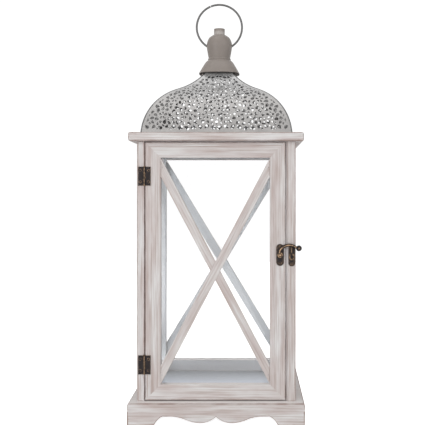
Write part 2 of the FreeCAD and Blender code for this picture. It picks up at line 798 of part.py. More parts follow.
def dome_holes(side):
    """Rows of vent holes through the belly of a panel, square to its surface."""
    step, margin = number("dome_hole_step"), number("dome_hole_margin")
    start = number("belly_radius") - HOLE_REACH
    holes = []
    for angle in HOLE_ROWS:
        half_width = -around((number("belly_centre"), 0), number("belly_radius"), angle)[0]
        y, z = around((number("belly_centre"), BELLY_RISE), start, angle)
        count = int((half_width - margin) / step)
        for column in range(-count, count + 1):
            spot = (f"{column}*dome_hole_step", y, z)
            slant = Rotation(Vector(1, 0, 0), 90 - angle)
            name = f"{side}_dome_hole_{len(holes)}"
            holes.append(rod(name, "dome_hole_radius", 2 * HOLE_REACH, spot, slant, TURN[side]))
    return fuse(f"{side}_dome_holes", holes)


def dome_panel(side):
    """One panel of the dome, cut to the hips and pierced."""
    name = f"dome_{side}_panel"
    body = doc.addObject("PartDesign::Body", f"{name}_sheet")
    section = sketch_on(body, "YZ_Plane", f"{name}_section")
    trace(section, flat(DOME_PATH))
    pad = body.newObject("PartDesign::Pad", f"{name}_pad")
    pad.Profile = section
    bind(pad, Length="base_side")
    place(body, ("-base_side/2", "0", "0"), TURN[side])
    cut(name, within(f"{name}_mitred", body, side), [dome_holes(side), dome_screws])


DOME_PATH, DOME_TOP, FLANGE_MIDDLE = dome_section()
flange_screws = []
for side in TURN:
    for along in ("-dome_screw_from_middle", "dome_screw_from_middle"):
        spot = (along, FLANGE_MIDDLE, f"{ROOF_TOP} + sheet_thick")
        name = f"{side}_flange_screw_{len(flange_screws)}"
        flange_screws.append(screw(name, "small_screw", spot, "down", TURN[side]))
dome_screws = group("dome_fixing_screws", flange_screws)
for side in TURN:
    dome_panel(side)
roof_low = ("-roof_side/2", "-roof_side/2", "body_top")
roof_high = ("roof_side/2", "roof_side/2", ROOF_TOP)
roof = board("roof_blank", roof_low, roof_high, radius="roof_round")
vent = rod("roof_vent", "vent_radius", "roof_thick", ("0", "0", "body_top"))
cut("roof_board", roof, [vent, screws, dome_screws])

# Finial: a bolt clamps a flared skirt and a hollow bulb to the crown plate, and a cap closes the bulb
CROWN_TOP = DOME_TOP + number("crown_thick")
SHOULDER = (number("skirt_shoulder"), number("skirt_shoulder_z"))
NECK = number("neck_z")
WALL = number("finial_wall")
BOLT = number("bolt_radius")
FOOT, BULB, BULB_Z = number("bulb_foot"), number("bulb_radius"), number("bulb_wide_z")
MOUTH, MOUTH_Z = number("bulb_top"), number("bulb_top_z")
SPIGOT, CAP, CAP_TOP = number("cap_spigot"), number("cap_radius"), number("cap_top_z")
RIM = number("skirt_radius")


def between(start, end, share, bulge):
    """A point part of the way from one point to another, moved outwards by the bulge."""
    return (start[0] + share * (end[0] - start[0]) + bulge, start[1] + share * (end[1] - start[1]))


def inward(spot):
    """The point one wall thickness nearer the axis."""
    return (spot[0] - WALL, spot[1])


def finial_skirt():
    """The flared skirt, open below, with a flat top under the bulb."""
    rim = (RIM, CROWN_TOP)
    waist = between(rim, SHOULDER, 0.5, -0.8)
    top = (FOOT, NECK)
    inner_shoulder = (SHOULDER[0] - WALL, SHOULDER[1] - WALL / 2)
    return [
        rim,
        [waist, SHOULDER],
        [between(SHOULDER, top, 0.5, -0.5), top],
        [(BOLT, NECK)],
        [(BOLT, NECK - WALL)],
        [(FOOT - WALL, NECK - WALL)],
        [inner_shoulder],
        [inward(waist), inward(rim)],
        [rim],
    ]


def finial_bulb():
    """The hollow bulb, with a floor for the bolt and a round mouth for the cap."""
    foot, wide = (FOOT, NECK + 2), (BULB, BULB_Z)
    shoulder, mouth = (0.81 * BULB, MOUTH_Z - 5), (MOUTH, MOUTH_Z)
    inner_mouth = (SPIGOT, MOUTH_Z - WALL)
    return [
        (BOLT, NECK),
        [(FOOT, NECK)],
        [foot],
        [between(foot, wide, 0.5, 0.2), wide],
        [between(wide, shoulder, 0.55, 1.3), shoulder],
        [between(shoulder, mouth, 0.5, 0.5), mouth],
        [(SPIGOT, MOUTH_Z)],
        [inner_mouth],
        [between(inner_mouth, inward(shoulder), 0.5, 0.5), inward(shoulder)],
        [between(inward(shoulder), inward(wide), 0.45, 1.3), inward(wide)],
        [between(inward(wide), inward(foot), 0.5, 0.2), inward(foot)],
        [(FOOT - WALL, NECK + WALL)],
        [(BOLT, NECK + WALL)],
        [(BOLT, NECK)],
    ]


def finial_cap():
    """The solid cap, with a spigot in the bulb's mouth."""
    return [
        (0, MOUTH_Z - 2 * WALL),
        [(SPIGOT, MOUTH_Z - 2 * WALL)],
        [(SPIGOT, MOUTH_Z)],
        [(CAP, MOUTH_Z)],
        [(CAP, CAP_TOP - 1)],
        [(CAP - 0.3, CAP_TOP - 0.3), (CAP - 1, CAP_TOP)],
        [(0, CAP_TOP)],
        [(0, MOUTH_Z - 2 * WALL)],
    ]


bolt_foot = f"{DOME_TOP} - bolt_head_tall"
bolt_long = f"neck_z + finial_wall + bolt_nut_tall + bolt_past_nut - ({bolt_foot})"
bolt_shapes = [
    rod("finial_bolt_head", "bolt_head_radius", "bolt_head_tall", ("0", "0", bolt_foot)),
    rod("finial_bolt_shank", "bolt_radius", bolt_long, ("0", "0", bolt_foot)),
]
bolt = fuse("finial_bolt", bolt_shapes)
nut_blank = rod("finial_nut_blank", "bolt_head_radius", "bolt_nut_tall", ("0", "0", "neck_z + finial_wall"))
nut = doc.addObject("Part::Cut", "finial_nut")
nut.Base = nut_blank
nut.Tool = bolt
group("finial_bolt_and_nut", [bolt, nut])
crown_half = "dome_crown_half"
crown_low = (f"-{crown_half}", f"-{crown_half}", DOME_TOP)
crown = block("crown_blank", crown_low, (crown_half, crown_half, CROWN_TOP))
cut("dome_crown_plate", crown, [bolt])
keep("finial_skirt", turned("finial_skirt", flat(finial_skirt())))
keep("finial_cap", turned("finial_cap", flat(finial_cap())))

# Ring handle: one open ring of wire, through two holes in the sides of the bulb
RING_PIVOT_Z = "(ring_centre_z - sqrt(ring_radius^2 - bulb_radius^2))"
ring_holes_start = ("-1.5*bulb_radius", "0", RING_PIVOT_Z)
ring_holes = rod("ring_holes", "ring_hole_radius", "3*bulb_radius", ring_holes_start, "right")
cut("finial_bulb", turned("finial_bulb_spun", flat(finial_bulb())), [ring_holes])
ring = keep("ring_handle", doc.addObject("Part::Torus", "ring_handle"))
bind(ring, Radius1="ring_radius", Radius2="ring_wire", Angle3="360 - ring_gap_angle")
ring_turn = Rotation(Vector(1, 0, 0), 90) * Rotation(Vector(0, 0, 1), number("ring_gap_at"))
place(ring, ("0", "0", "ring_centre_z"), facing=ring_turn)

# Checks before anything is written
doc.recompute()
for thing in doc.Objects:
    if "Invalid" in thing.State or "Error" in thing.State:
        raise RuntimeError(f"{thing.Name} did not compute: {thing.State}")
for name, thing in pieces.items():
    if thing.Shape.isNull() or not thing.Shape.isValid() or not thing.Shape.Solids:
        raise RuntimeError(f"{name} has no valid solid")

os.makedirs("parts", exist_ok=True)
for name, thing in pieces.items():
    thing.Shape.exportStep(f"parts/{name}.step")
    print(f"{name}: {len(thing.Shape.Solids)} solid(s), {thing.Shape.Volume:.0f} cubic mm")
print(f"{len(pieces)} nodes, ring pivot at z = {number(RING_PIVOT_Z):.3f}, dome top at z = {DOME_TOP:.3f}")
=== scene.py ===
# %% [markdown]
# # A hurricane candle lantern
# The lantern is a whitewashed wooden box with glass on four sides. It stands on a scalloped base and
# carries a pierced metal dome with a painted finial and a wire ring. The CAD model gives every piece
# its size and place, so the first step loads it. What follows gives the pieces their finishes, and
# models again those that the CAD model keeps plain.

# %% Load the CAD model
import math
import random

import bpy
from mathutils import Matrix, Vector


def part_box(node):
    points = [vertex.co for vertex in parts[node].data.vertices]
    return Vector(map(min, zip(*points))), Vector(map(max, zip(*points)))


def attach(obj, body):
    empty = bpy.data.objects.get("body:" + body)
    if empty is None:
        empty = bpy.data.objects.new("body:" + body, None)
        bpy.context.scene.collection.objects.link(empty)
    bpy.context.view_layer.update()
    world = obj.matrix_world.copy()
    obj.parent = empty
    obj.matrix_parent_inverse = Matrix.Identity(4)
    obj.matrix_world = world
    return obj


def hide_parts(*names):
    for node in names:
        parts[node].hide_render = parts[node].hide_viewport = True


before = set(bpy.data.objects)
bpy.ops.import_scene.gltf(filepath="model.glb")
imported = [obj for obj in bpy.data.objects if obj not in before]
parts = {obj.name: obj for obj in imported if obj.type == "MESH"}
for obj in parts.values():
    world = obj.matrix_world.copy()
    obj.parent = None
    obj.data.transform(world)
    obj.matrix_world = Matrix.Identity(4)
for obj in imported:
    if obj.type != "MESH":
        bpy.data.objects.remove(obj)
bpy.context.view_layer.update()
MM = 0.001

# %% [markdown]
# ## Helpers
# A colour is easiest to choose as a hex value, as a paint program shows it, but a shader wants linear
# light, so one function turns the first into the second. Another adds a node to a material: its
# settings are given by name, and each input gets either a value or the socket that feeds it.


# %% Colours and nodes
def linear(hex_colour):
    """A hex colour such as #d0c8c4 as linear red, green, blue and alpha."""
    shares = [int(hex_colour[i : i + 2], 16) / 255 for i in (1, 3, 5)]
    return [s / 12.92 if s <= 0.04045 else ((s + 0.055) / 1.055) ** 2.4 for s in shares] + [1]


def add(tree, kind, inputs=None, **settings):
    """Adds a node to a node tree, sets its properties, and fills its inputs with values or links."""
    made = tree.nodes.new(kind)
    for name, value in settings.items():
        setattr(made, name, value)
    for key, value in (inputs or {}).items():
        if isinstance(value, bpy.types.NodeSocket):
            tree.links.new(value, made.inputs[key])
        else:
            made.inputs[key].default_value = value
    return made


# The sockets of a Mix node that mixes colours
MIX_A, MIX_B, MIXED = 6, 7, 2
print("middle grey is", round(linear("#808080")[0], 3), "in linear light")

# %% [markdown]
# ## The camera
# The photograph was taken from in front, level with the middle of the door and a little to its right:
# the right-hand post shows a sliver of its side. A level camera keeps upright edges upright. The
# lens shift then moves the lantern to its place in the frame without tilting the camera.

# %% Camera
camera_data = bpy.data.cameras.new("photo_camera")
camera_data.lens = 70.2
camera_data.sensor_width = 36
camera_data.shift_x = -0.0861
camera_data.shift_y = -0.049
camera = bpy.data.objects.new("photo_camera", camera_data)
camera.location = (0.0567, -1.4569, 0.3635)
camera.rotation_euler = (math.radians(90), 0, 0)
bpy.context.scene.collection.objects.link(camera)
bpy.context.scene.camera = camera
print("camera stands", round(camera.location.length, 3), "m from the lantern's foot")

# %% [markdown]
# ## Floor, backdrop and light
# The photograph is a white packshot. The world is plain white to the camera, and to rays that come off
# metal or through glass, and a softer white to everything else. The floor glows in the same way, so its
# edge doesn't show. Two large soft lamps in front and one above give the wood its even light.

# %% White world
WORLD_LIGHT, WORLD_SHOWN, FLOOR_SHOWN = 0.33, 1.07, 0.95


def seen(tree):
    """1 for rays from the camera, off metal or through glass, and 0 for those that only light things."""
    path = add(tree, "ShaderNodeLightPath")
    inputs = {0: path.outputs["Is Camera Ray"], 1: path.outputs["Is Glossy Ray"]}
    direct = add(tree, "ShaderNodeMath", inputs)
    inputs = {0: direct.outputs[0], 1: path.outputs["Is Transmission Ray"]}
    return add(tree, "ShaderNodeMath", inputs, use_clamp=True).outputs[0]


world = bpy.data.worlds.new("white_studio")
world.use_nodes = True
bpy.context.scene.world = world
tree = world.node_tree
inputs = {"Value": seen(tree), "To Min": WORLD_LIGHT, "To Max": WORLD_SHOWN}
level = add(tree, "ShaderNodeMapRange", inputs)
tree.links.new(level.outputs[0], tree.nodes["Background"].inputs["Strength"])
tree.nodes["Background"].inputs["Color"].default_value = (1, 1, 1, 1)
print("world lights at", WORLD_LIGHT, "and shows at", WORLD_SHOWN)


# %% Floor
def new_material(name):
    """A new material, with its node tree and its shader."""
    material = bpy.data.materials.new(name)
    material.use_nodes = True
    return material, material.node_tree, material.node_tree.nodes["Principled BSDF"]


def dress(piece, material):
    """Gives a piece one material in place of what it had."""
    piece.data.materials.clear()
    piece.data.materials.append(material)


bpy.ops.object.select_all(action="DESELECT")
bpy.ops.mesh.primitive_plane_add(size=6, location=(0, 0, 0))
floor = bpy.context.object
floor.name = "studio_floor"
paper, tree, shader = new_material("white_paper")
shader.inputs["Base Color"].default_value = linear("#f4f4f4")
shader.inputs["Roughness"].default_value = 0.9
shader.inputs["Specular IOR Level"].default_value = 0.1
glow = add(tree, "ShaderNodeMath", {0: seen(tree), 1: FLOOR_SHOWN}, operation="MULTIPLY")
shader.inputs["Emission Color"].default_value = (1, 1, 1, 1)
tree.links.new(glow.outputs[0], shader.inputs["Emission Strength"])
dress(floor, paper)
print("floor is", floor.dimensions[0], "m wide")

# %% Lamps
# Where each lamp stands, its side in metres and its power in watts
LAMPS = {
    "left_softbox": ((-1.4, -2.2, 0.9), 1.4, 25),
    "right_softbox": ((1.9, -1.9, 1.2), 1.4, 17),
    "top_softbox": ((-0.2, -0.4, 2.2), 1.4, 10),
}
LANTERN_MIDDLE = Vector((0, 0, 0.35))
for name, (spot, side, power) in LAMPS.items():
    lamp_data = bpy.data.lights.new(name, "AREA")
    lamp_data.size = side
    lamp_data.energy = power
    lamp = bpy.data.objects.new(name, lamp_data)
    lamp.location = spot
    aim = LANTERN_MIDDLE - Vector(spot)
    lamp.rotation_euler = aim.to_track_quat("-Z", "Y").to_euler()
    bpy.context.scene.collection.objects.link(lamp)
print("lamps:", ", ".join(LAMPS))

# %% [markdown]
# ## Whitewashed wood
# The frame is light softwood under a thin white wash that was rubbed back: the wash is grey-white and
# matt, streaks of pinkish brown show through along the grain, and edges are worn to the wood. The
# pattern is noise, stretched along the grain. Object coordinates are the lantern's own, so one material
# for each direction of grain is enough, and neighbours with the same direction still differ.

# %% Grain and wash
# Length and width in millimetres of the wash's clouds, streaks, pores and worn places, and their detail
GRAIN = {"cloud": (70, 12, 5), "streak": (85, 1.9, 3), "pore": (55, 0.8, 2), "worn": (18, 9, 3)}
# The wash and the rubbed wash, then painted shade for the inside and painted light for top faces
WASH, RUBBED_WASH, INNER_SHADE, TOP_FACE_LIGHT = "#dfdddc", "#c9bebb", "#cbced1", "#f3efed"
STREAK, PORE, WORN = "#a2897f", "#8f776c", "#7c5d50"
# How far each direction of grain shifts its pattern, in metres
SHIFT = 0.3


def grain_noise(tree, spot, grain):
    """The patterns of the wash, each stretched along the grain."""
    turn = Vector(grain).rotation_difference(Vector((1, 0, 0))).to_euler()
    inputs = {"Vector": spot, "Rotation": turn, "Location": SHIFT * Vector(grain)}
    along = add(tree, "ShaderNodeMapping", inputs).outputs[0]
    noise = {}
    for use, (long, wide, detail) in GRAIN.items():
        stretch = (1 / (long * MM), 1 / (wide * MM), 1 / (wide * MM))
        size = add(tree, "ShaderNodeVectorMath", {0: along, 1: stretch}, operation="MULTIPLY")
        inputs = {"Vector": size.outputs[0], "Scale": 1, "Detail": detail}
        noise[use] = add(tree, "ShaderNodeTexNoise", inputs).outputs[0]
    return noise


def rubbed_wash(tree, noise):
    """The colour of the flat faces, and how far the grain lies open."""
    # The wash is light where it lies thick, and greyer where it was rubbed
    limits = {"From Min": 0.35, "From Max": 0.65}
    cloud = add(tree, "ShaderNodeMapRange", {"Value": noise["cloud"], **limits})
    inputs = {0: cloud.outputs[0], MIX_A: linear(WASH), MIX_B: linear(RUBBED_WASH)}
    colour = add(tree, "ShaderNodeMix", inputs, data_type="RGBA")
    # Streaks of wood show through
    limits = {"From Min": 0.48, "From Max": 0.68, "To Max": 0.52}
    streak = add(tree, "ShaderNodeMapRange", {"Value": noise["streak"], **limits})
    inputs = {0: streak.outputs[0], MIX_A: colour.outputs[MIXED], MIX_B: linear(STREAK)}
    colour = add(tree, "ShaderNodeMix", inputs, data_type="RGBA")
    # So do its pores, drawn coarser than they are so that they show
    limits = {"From Min": 0.52, "From Max": 0.8, "To Max": 0.4}
    pore = add(tree, "ShaderNodeMapRange", {"Value": noise["pore"], **limits})
    inputs = {0: pore.outputs[0], MIX_A: colour.outputs[MIXED], MIX_B: linear(PORE)}
    colour = add(tree, "ShaderNodeMix", inputs, data_type="RGBA")
    # Top faces are painted lighter: painted light from above
    facing = add(tree, "ShaderNodeTexCoord").outputs["Normal"]
    facing = add(tree, "ShaderNodeSeparateXYZ", {0: facing})
    limits = {"From Min": 0.9, "From Max": 1, "To Max": 0.7}
    top = add(tree, "ShaderNodeMapRange", {"Value": facing.outputs["Z"], **limits})
    inputs = {0: top.outputs[0], MIX_A: colour.outputs[MIXED], MIX_B: linear(TOP_FACE_LIGHT)}
    colour = add(tree, "ShaderNodeMix", inputs, data_type="RGBA")
    depth = add(tree, "ShaderNodeMath", {0: streak.outputs[0], 1: pore.outputs[0]})
    return colour.outputs[MIXED], depth.outputs[0]


print("wash", WASH, "over wood", STREAK)

# %% [markdown]
# Edges are worn down to the wood, in patches. A Bevel node gives a normal that is rounded near an edge,
# and where it leaves the flat face's own normal, there is an edge. Joints between two boards are no
# edges, although the Bevel node sees them. Some places are sheltered and keep their wash: the edges
# round the openings, which the cross bars guard, and the lip of the post that closes the gap beside the
# door.

# %% Worn edges
# Heights of the base and of its aprons in millimetres, and how far the joint above the aprons reaches
BASE_TOP, APRON_TOP, JOINT_HALF = 34, 23, 1.6
# Middle and half-length of the sheltered places along two axes each: the openings, and the lip
SHELTERED = ({"X": (0, 91), "Z": (241, 183)}, {"X": (113.6, 3.2), "Y": (-124, 2.5)})
# How far from an edge the wear reaches
EDGE_WORN = 3


def rounded_edges(tree, radius, limits):
    """The normal, rounded near edges, and a mask that shows where it leaves the flat one."""
    rounded = add(tree, "ShaderNodeBevel", {"Radius": radius * MM}, samples=6).outputs[0]
    flat = add(tree, "ShaderNodeNewGeometry").outputs["True Normal"]
    same = add(tree, "ShaderNodeVectorMath", {0: rounded, 1: flat}, operation="DOT_PRODUCT")
    return rounded, add(tree, "ShaderNodeMapRange", {"Value": same.outputs["Value"], **limits}).outputs[0]


def squared_edges(tree, edge):
    """The edges, with whatever faces none of six ways: on a squared stick that is a rounded edge."""
    facing = add(tree, "ShaderNodeTexCoord").outputs["Normal"]
    facing = add(tree, "ShaderNodeVectorMath", {0: facing}, operation="ABSOLUTE")
    facing = add(tree, "ShaderNodeSeparateXYZ", {0: facing.outputs[0]})
    inputs = {0: facing.outputs["X"], 1: facing.outputs["Y"]}
    most = add(tree, "ShaderNodeMath", inputs, operation="MAXIMUM")
    most = add(tree, "ShaderNodeMath", {0: most.outputs[0], 1: facing.outputs["Z"]}, operation="MAXIMUM")
    limits = {"From Min": 0.985, "From Max": 0.9, "To Max": 0.6}
    turned = add(tree, "ShaderNodeMapRange", {"Value": most.outputs[0], **limits})
    return add(tree, "ShaderNodeMath", {0: edge, 1: turned.outputs[0]}, operation="MAXIMUM").outputs[0]


def true_edges(tree, place, rounded):
    """0 at the joints between boards, which are no edges, and 1 elsewhere."""
    # At a mitre the rounded normal leans sideways and upwards at once. So it does on the scalloped base,
    # which is therefore left out
    lean = add(tree, "ShaderNodeSeparateXYZ", {0: rounded})
    lean = add(tree, "ShaderNodeMath", {0: lean.outputs["X"], 1: lean.outputs["Z"]}, operation="MULTIPLY")
    lean = add(tree, "ShaderNodeMath", {0: lean.outputs[0]}, operation="ABSOLUTE")
    limits = {"From Min": 0.004, "From Max": 0.02, "To Min": 1, "To Max": 0}
    straight = add(tree, "ShaderNodeMapRange", {"Value": lean.outputs[0], **limits})
    base = add(tree, "ShaderNodeMath", {0: place.outputs["Z"], 1: BASE_TOP * MM}, operation="LESS_THAN")
    inputs = {0: straight.outputs[0], 1: base.outputs[0]}
    straight = add(tree, "ShaderNodeMath", inputs, operation="MAXIMUM")
    # The other joint lies between the aprons and the board on top of them
    inputs = {0: place.outputs["Z"], 1: APRON_TOP * MM, 2: JOINT_HALF * MM}
    joint = add(tree, "ShaderNodeMath", inputs, operation="COMPARE")
    inputs = {0: straight.outputs[0], 1: joint.outputs[0]}
    return add(tree, "ShaderNodeMath", inputs, operation="SUBTRACT", use_clamp=True).outputs[0]


def unsheltered(tree, place, wear):
    """The wear, without the sheltered places."""
    for sides in SHELTERED:
        within = []
        for axis, (centre, half) in sides.items():
            inputs = {0: place.outputs[axis], 1: centre * MM, 2: half * MM}
            within.append(add(tree, "ShaderNodeMath", inputs, operation="COMPARE").outputs[0])
        both = add(tree, "ShaderNodeMath", {0: within[0], 1: within[1]}, operation="MULTIPLY")
        inputs = {0: wear, 1: both.outputs[0]}
        wear = add(tree, "ShaderNodeMath", inputs, operation="SUBTRACT", use_clamp=True).outputs[0]
    return wear


def worn_edges(tree, spot, noise, square):
    """How far the wash is worn off at each place: along edges, and where the noise allows it."""
    limits = {"From Min": 0.995, "From Max": 0.9, "To Max": 1}
    rounded, edge = rounded_edges(tree, EDGE_WORN, limits)
    if square:
        edge = squared_edges(tree, edge)
    limits = {"From Min": 0.4, "From Max": 0.6, "To Min": 0.55, "To Max": 1}
    patchy = add(tree, "ShaderNodeMapRange", {"Value": noise["worn"], **limits})
    wear = add(tree, "ShaderNodeMath", {0: edge, 1: patchy.outputs[0]}, operation="MULTIPLY")
    place = add(tree, "ShaderNodeSeparateXYZ", {0: spot})
    inputs = {0: wear.outputs[0], 1: true_edges(tree, place, rounded)}
    wear = add(tree, "ShaderNodeMath", inputs, operation="MULTIPLY").outputs[0]
    return unsheltered(tree, place, wear) if square else wear


print("edges are worn up to", EDGE_WORN, "mm wide")

# %% [markdown]
# Inside the lantern shade is painted in, bluer and darker than the wash: on the floor between the posts,
# which is painted lightest in front, and on the faces that look inwards: their normal points against their
# place.

# %% The inside of the lantern
# All in millimetres from the lantern's middle. The painted shade fades out on the floor at the chamber's
# walls, and on the inner faces where the posts begin
FLOOR_FULL, FLOOR_GONE, FACES_FULL, FACES_GONE = 103, 107, 104.2, 104.4
FLOOR_REAR, FLOOR_FRONT, FACING_IN = 95, -5, -100
# The floor's painted shade at the back and painted light in front, and how much painted shade covers the
# inside
SHADED_FLOOR, LIT_FLOOR, INNER_SHADE_SHARE = "#757a81", "#dde3ee", 0.85


def inner_shade_over(tree, spot, colour, inner_shade):
    """The colour, with painted shade over the chamber's floor, painted lighter towards the front, and over
    its inner faces.
    """
    place = add(tree, "ShaderNodeSeparateXYZ", {0: spot})
    limits = {"From Min": FLOOR_REAR * MM, "From Max": FLOOR_FRONT * MM}
    front = add(tree, "ShaderNodeMapRange", {"Value": place.outputs["Y"], **limits})
    inputs = {0: front.outputs[0], MIX_A: linear(SHADED_FLOOR), MIX_B: linear(LIT_FLOOR)}
    floor_shade = add(tree, "ShaderNodeMix", inputs, data_type="RGBA")
    apart = add(tree, "ShaderNodeVectorMath", {0: spot}, operation="ABSOLUTE")
    apart = add(tree, "ShaderNodeSeparateXYZ", {0: apart.outputs[0]})
    apart = {0: apart.outputs["X"], 1: apart.outputs["Y"]}
    reach = add(tree, "ShaderNodeMath", apart, operation="MAXIMUM")
    limits = {"From Min": FLOOR_GONE * MM, "From Max": FLOOR_FULL * MM, "To Max": INNER_SHADE_SHARE}
    chamber = add(tree, "ShaderNodeMapRange", {"Value": reach.outputs[0], **limits})
    inputs = {0: chamber.outputs[0], MIX_A: colour, MIX_B: floor_shade.outputs[MIXED]}
    colour = add(tree, "ShaderNodeMix", inputs, data_type="RGBA")
    # Painted shade on faces that look inwards, but for the corners, where the posts stand
    normal = add(tree, "ShaderNodeTexCoord").outputs["Normal"]
    level = add(tree, "ShaderNodeVectorMath", {0: spot, 1: (1, 1, 0)}, operation="MULTIPLY")
    inputs = {0: level.outputs[0], 1: normal}
    against = add(tree, "ShaderNodeVectorMath", inputs, operation="DOT_PRODUCT")
    inputs = {0: against.outputs["Value"], 1: FACING_IN * MM}
    inner = add(tree, "ShaderNodeMath", inputs, operation="LESS_THAN")
    least = add(tree, "ShaderNodeMath", apart, operation="MINIMUM")
    limits = {"From Min": FACES_GONE * MM, "From Max": FACES_FULL * MM, "To Max": INNER_SHADE_SHARE}
    between = add(tree, "ShaderNodeMapRange", {"Value": least.outputs[0], **limits})
    inputs = {0: inner.outputs[0], 1: between.outputs[0]}
    inner = add(tree, "ShaderNodeMath", inputs, operation="MULTIPLY")
    inputs = {0: inner.outputs[0], MIX_A: colour.outputs[MIXED], MIX_B: linear(inner_shade)}
    return add(tree, "ShaderNodeMix", inputs, data_type="RGBA").outputs[MIXED]


print("the chamber's floor runs from", SHADED_FLOOR, "to", LIT_FLOOR)


# %% Wood material
def whitewashed_wood(name, grain, inner_shade=INNER_SHADE, square=True):
    """Rubbed-back whitewash on softwood: matt, streaked along the grain, brown at its edges."""
    wood, tree, shader = new_material(name)
    spot = add(tree, "ShaderNodeTexCoord").outputs["Object"]
    noise = grain_noise(tree, spot, grain)
    colour, depth = rubbed_wash(tree, noise)
    inputs = {0: worn_edges(tree, spot, noise, square), MIX_A: colour, MIX_B: linear(WORN)}
    colour = add(tree, "ShaderNodeMix", inputs, data_type="RGBA").outputs[MIXED]
    colour = inner_shade_over(tree, spot, colour, inner_shade)
    tree.links.new(colour, shader.inputs["Base Color"])
    # The rubbed wash is dull, and the open grain lies a little lower
    limits = {"To Min": 0.62, "To Max": 0.82}
    dull = add(tree, "ShaderNodeMapRange", {"Value": noise["streak"], **limits})
    tree.links.new(dull.outputs[0], shader.inputs["Roughness"])
    shader.inputs["Specular IOR Level"].default_value = 0.35
    inputs = {"Height": depth, "Distance": 0.25 * MM, "Strength": 0.6}
    relief = add(tree, "ShaderNodeBump", inputs, invert=True)
    tree.links.new(relief.outputs[0], shader.inputs["Normal"])
    return wood


UPRIGHT, ACROSS, INWARD = (0, 0, 1), (1, 0, 0), (0, 1, 0)
upright_wood = whitewashed_wood("whitewashed_wood_upright", UPRIGHT)
# The rails across get a darker painted shade on their inner faces
across_wood = whitewashed_wood("whitewashed_wood_across", ACROSS, inner_shade="#a5a6a9")
inward_wood = whitewashed_wood("whitewashed_wood_inward", INWARD)
print("each wood takes", len(upright_wood.node_tree.nodes), "nodes")

# %% Give each stick its direction of grain
# What the names of each wood's sticks begin or end with
WOOD = {
    upright_wood: ("_post", "_stile", "frame_dowels"),
    across_wood: ("base_front", "base_rear", "rear_top", "rear_bottom", "door_top", "door_bottom")
    + ("_board", "_strip"),
    inward_wood: ("base_left", "base_right", "left_top", "left_bottom", "right_top", "right_bottom"),
}
for wood, words in WOOD.items():
    sticks = [name for name in parts if name.startswith(words) or name.endswith(words)]
    for name in sticks:
        dress(parts[name], wood)
    print(wood.name, sticks)

# %% The cross bars, whose grain runs along each bar
# The upright thickness of a bar, by which its box is taller than its middle line
BAR_THICK = 30.2 * MM
ALONG = {"door": (1, 0), "right": (0, 1), "rear": (-1, 0), "left": (0, -1)}
for side, (x, y) in ALONG.items():
    for slope, sign in (("rising", 1), ("falling", -1)):
        bar = parts[f"{side}_cross_bar_{slope}"]
        lowest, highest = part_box(bar.name)
        wide = max(highest.x - lowest.x, highest.y - lowest.y)
        rise = highest.z - lowest.z - BAR_THICK
        grain = Vector((sign * x * wide, sign * y * wide, rise)).normalized()
        dress(bar, whitewashed_wood(f"whitewashed_{bar.name}", grain, square=False))
        print(bar.name, "leans", round(math.degrees(math.atan2(rise, wide)), 1), "degrees")

# %% [markdown]
# ## Glass
# The four panes are plain window glass, 2 mm thick and clean. A glass shader bends light, so no lamp
# would reach the inside of the lantern through it. For shadow rays a transparent shader takes its place.

# %% Glass material
glass, tree, shader = new_material("clear_window_glass")
shader.inputs["Base Color"].default_value = linear("#ffffff")
shader.inputs["Roughness"].default_value = 0
shader.inputs["IOR"].default_value = 1.5
shader.inputs["Transmission Weight"].default_value = 1
clear = add(tree, "ShaderNodeBsdfTransparent", {"Color": linear("#f4f6f8")})
path = add(tree, "ShaderNodeLightPath")
inputs = {0: path.outputs["Is Shadow Ray"], 1: shader.outputs[0], 2: clear.outputs[0]}
either = add(tree, "ShaderNodeMixShader", inputs)
tree.links.new(either.outputs[0], tree.nodes["Material Output"].inputs["Surface"])
panes = [name for name in parts if name.endswith("_glass")]
for name in panes:
    dress(parts[name], glass)
print("glass in", panes)

# %% [markdown]
# ## The pierced dome
# Each of the four dome panels is a sheet of galvanised steel, punched flat with an old Eastern pattern
# of flowers and leaves, and only then rolled to its curve. It is made the same way here. A flat curve
# with holes is filled, made a mesh, cut into strips so that it can bend, extruded to the sheet's
# thickness, and laid along the dome's profile. Boolean cuts would leave ragged faces on a curved
# sheet, and a painted pattern would let no light through.

# %% The profile of a panel
# Two arcs make the profile, in millimetres: a belly that bulges, from a little above its centre, and a
# hollow neck
BELLY_CENTRE, BELLY_RADIUS, BELLY_FOOT, NECK_RADIUS = Vector((31, 455)), 90, 6, 105
BELLY_START, BELLY_END = math.asin(BELLY_FOOT / BELLY_RADIUS), math.radians(67.1)
SHEET, FLANGE, CROWN_HALF = 1.0, 10, 24.5
belly_to_neck = Vector((math.cos(BELLY_END), math.sin(BELLY_END)))
NECK_CENTRE = BELLY_CENTRE + (BELLY_RADIUS + NECK_RADIUS) * belly_to_neck
BELLY_LONG = BELLY_RADIUS * (BELLY_END - BELLY_START)
NECK_END = math.acos((NECK_CENTRE.x - CROWN_HALF) / NECK_RADIUS)
PANEL_LONG = BELLY_LONG + NECK_RADIUS * (BELLY_END - NECK_END)


def profile(rise, depth=0):
    """Where a point of the flat sheet comes to lie: its distance from the axis, and its height."""
    if rise < 0:
        foot = profile(0)
        return Vector((foot.x + max(rise, -FLANGE), foot.y + depth))
    if rise == 0 and depth:
        return profile(0) + Vector((-depth, depth))
    if rise <= BELLY_LONG:
        angle = BELLY_START + rise / BELLY_RADIUS
        return BELLY_CENTRE + (BELLY_RADIUS - depth) * Vector((math.cos(angle), math.sin(angle)))
    angle = BELLY_END - (rise - BELLY_LONG) / NECK_RADIUS
    return NECK_CENTRE - (NECK_RADIUS + depth) * Vector((math.cos(angle), math.sin(angle)))


print("a flat panel is", round(2 * profile(0).x), "mm wide and", round(PANEL_LONG), "mm tall")

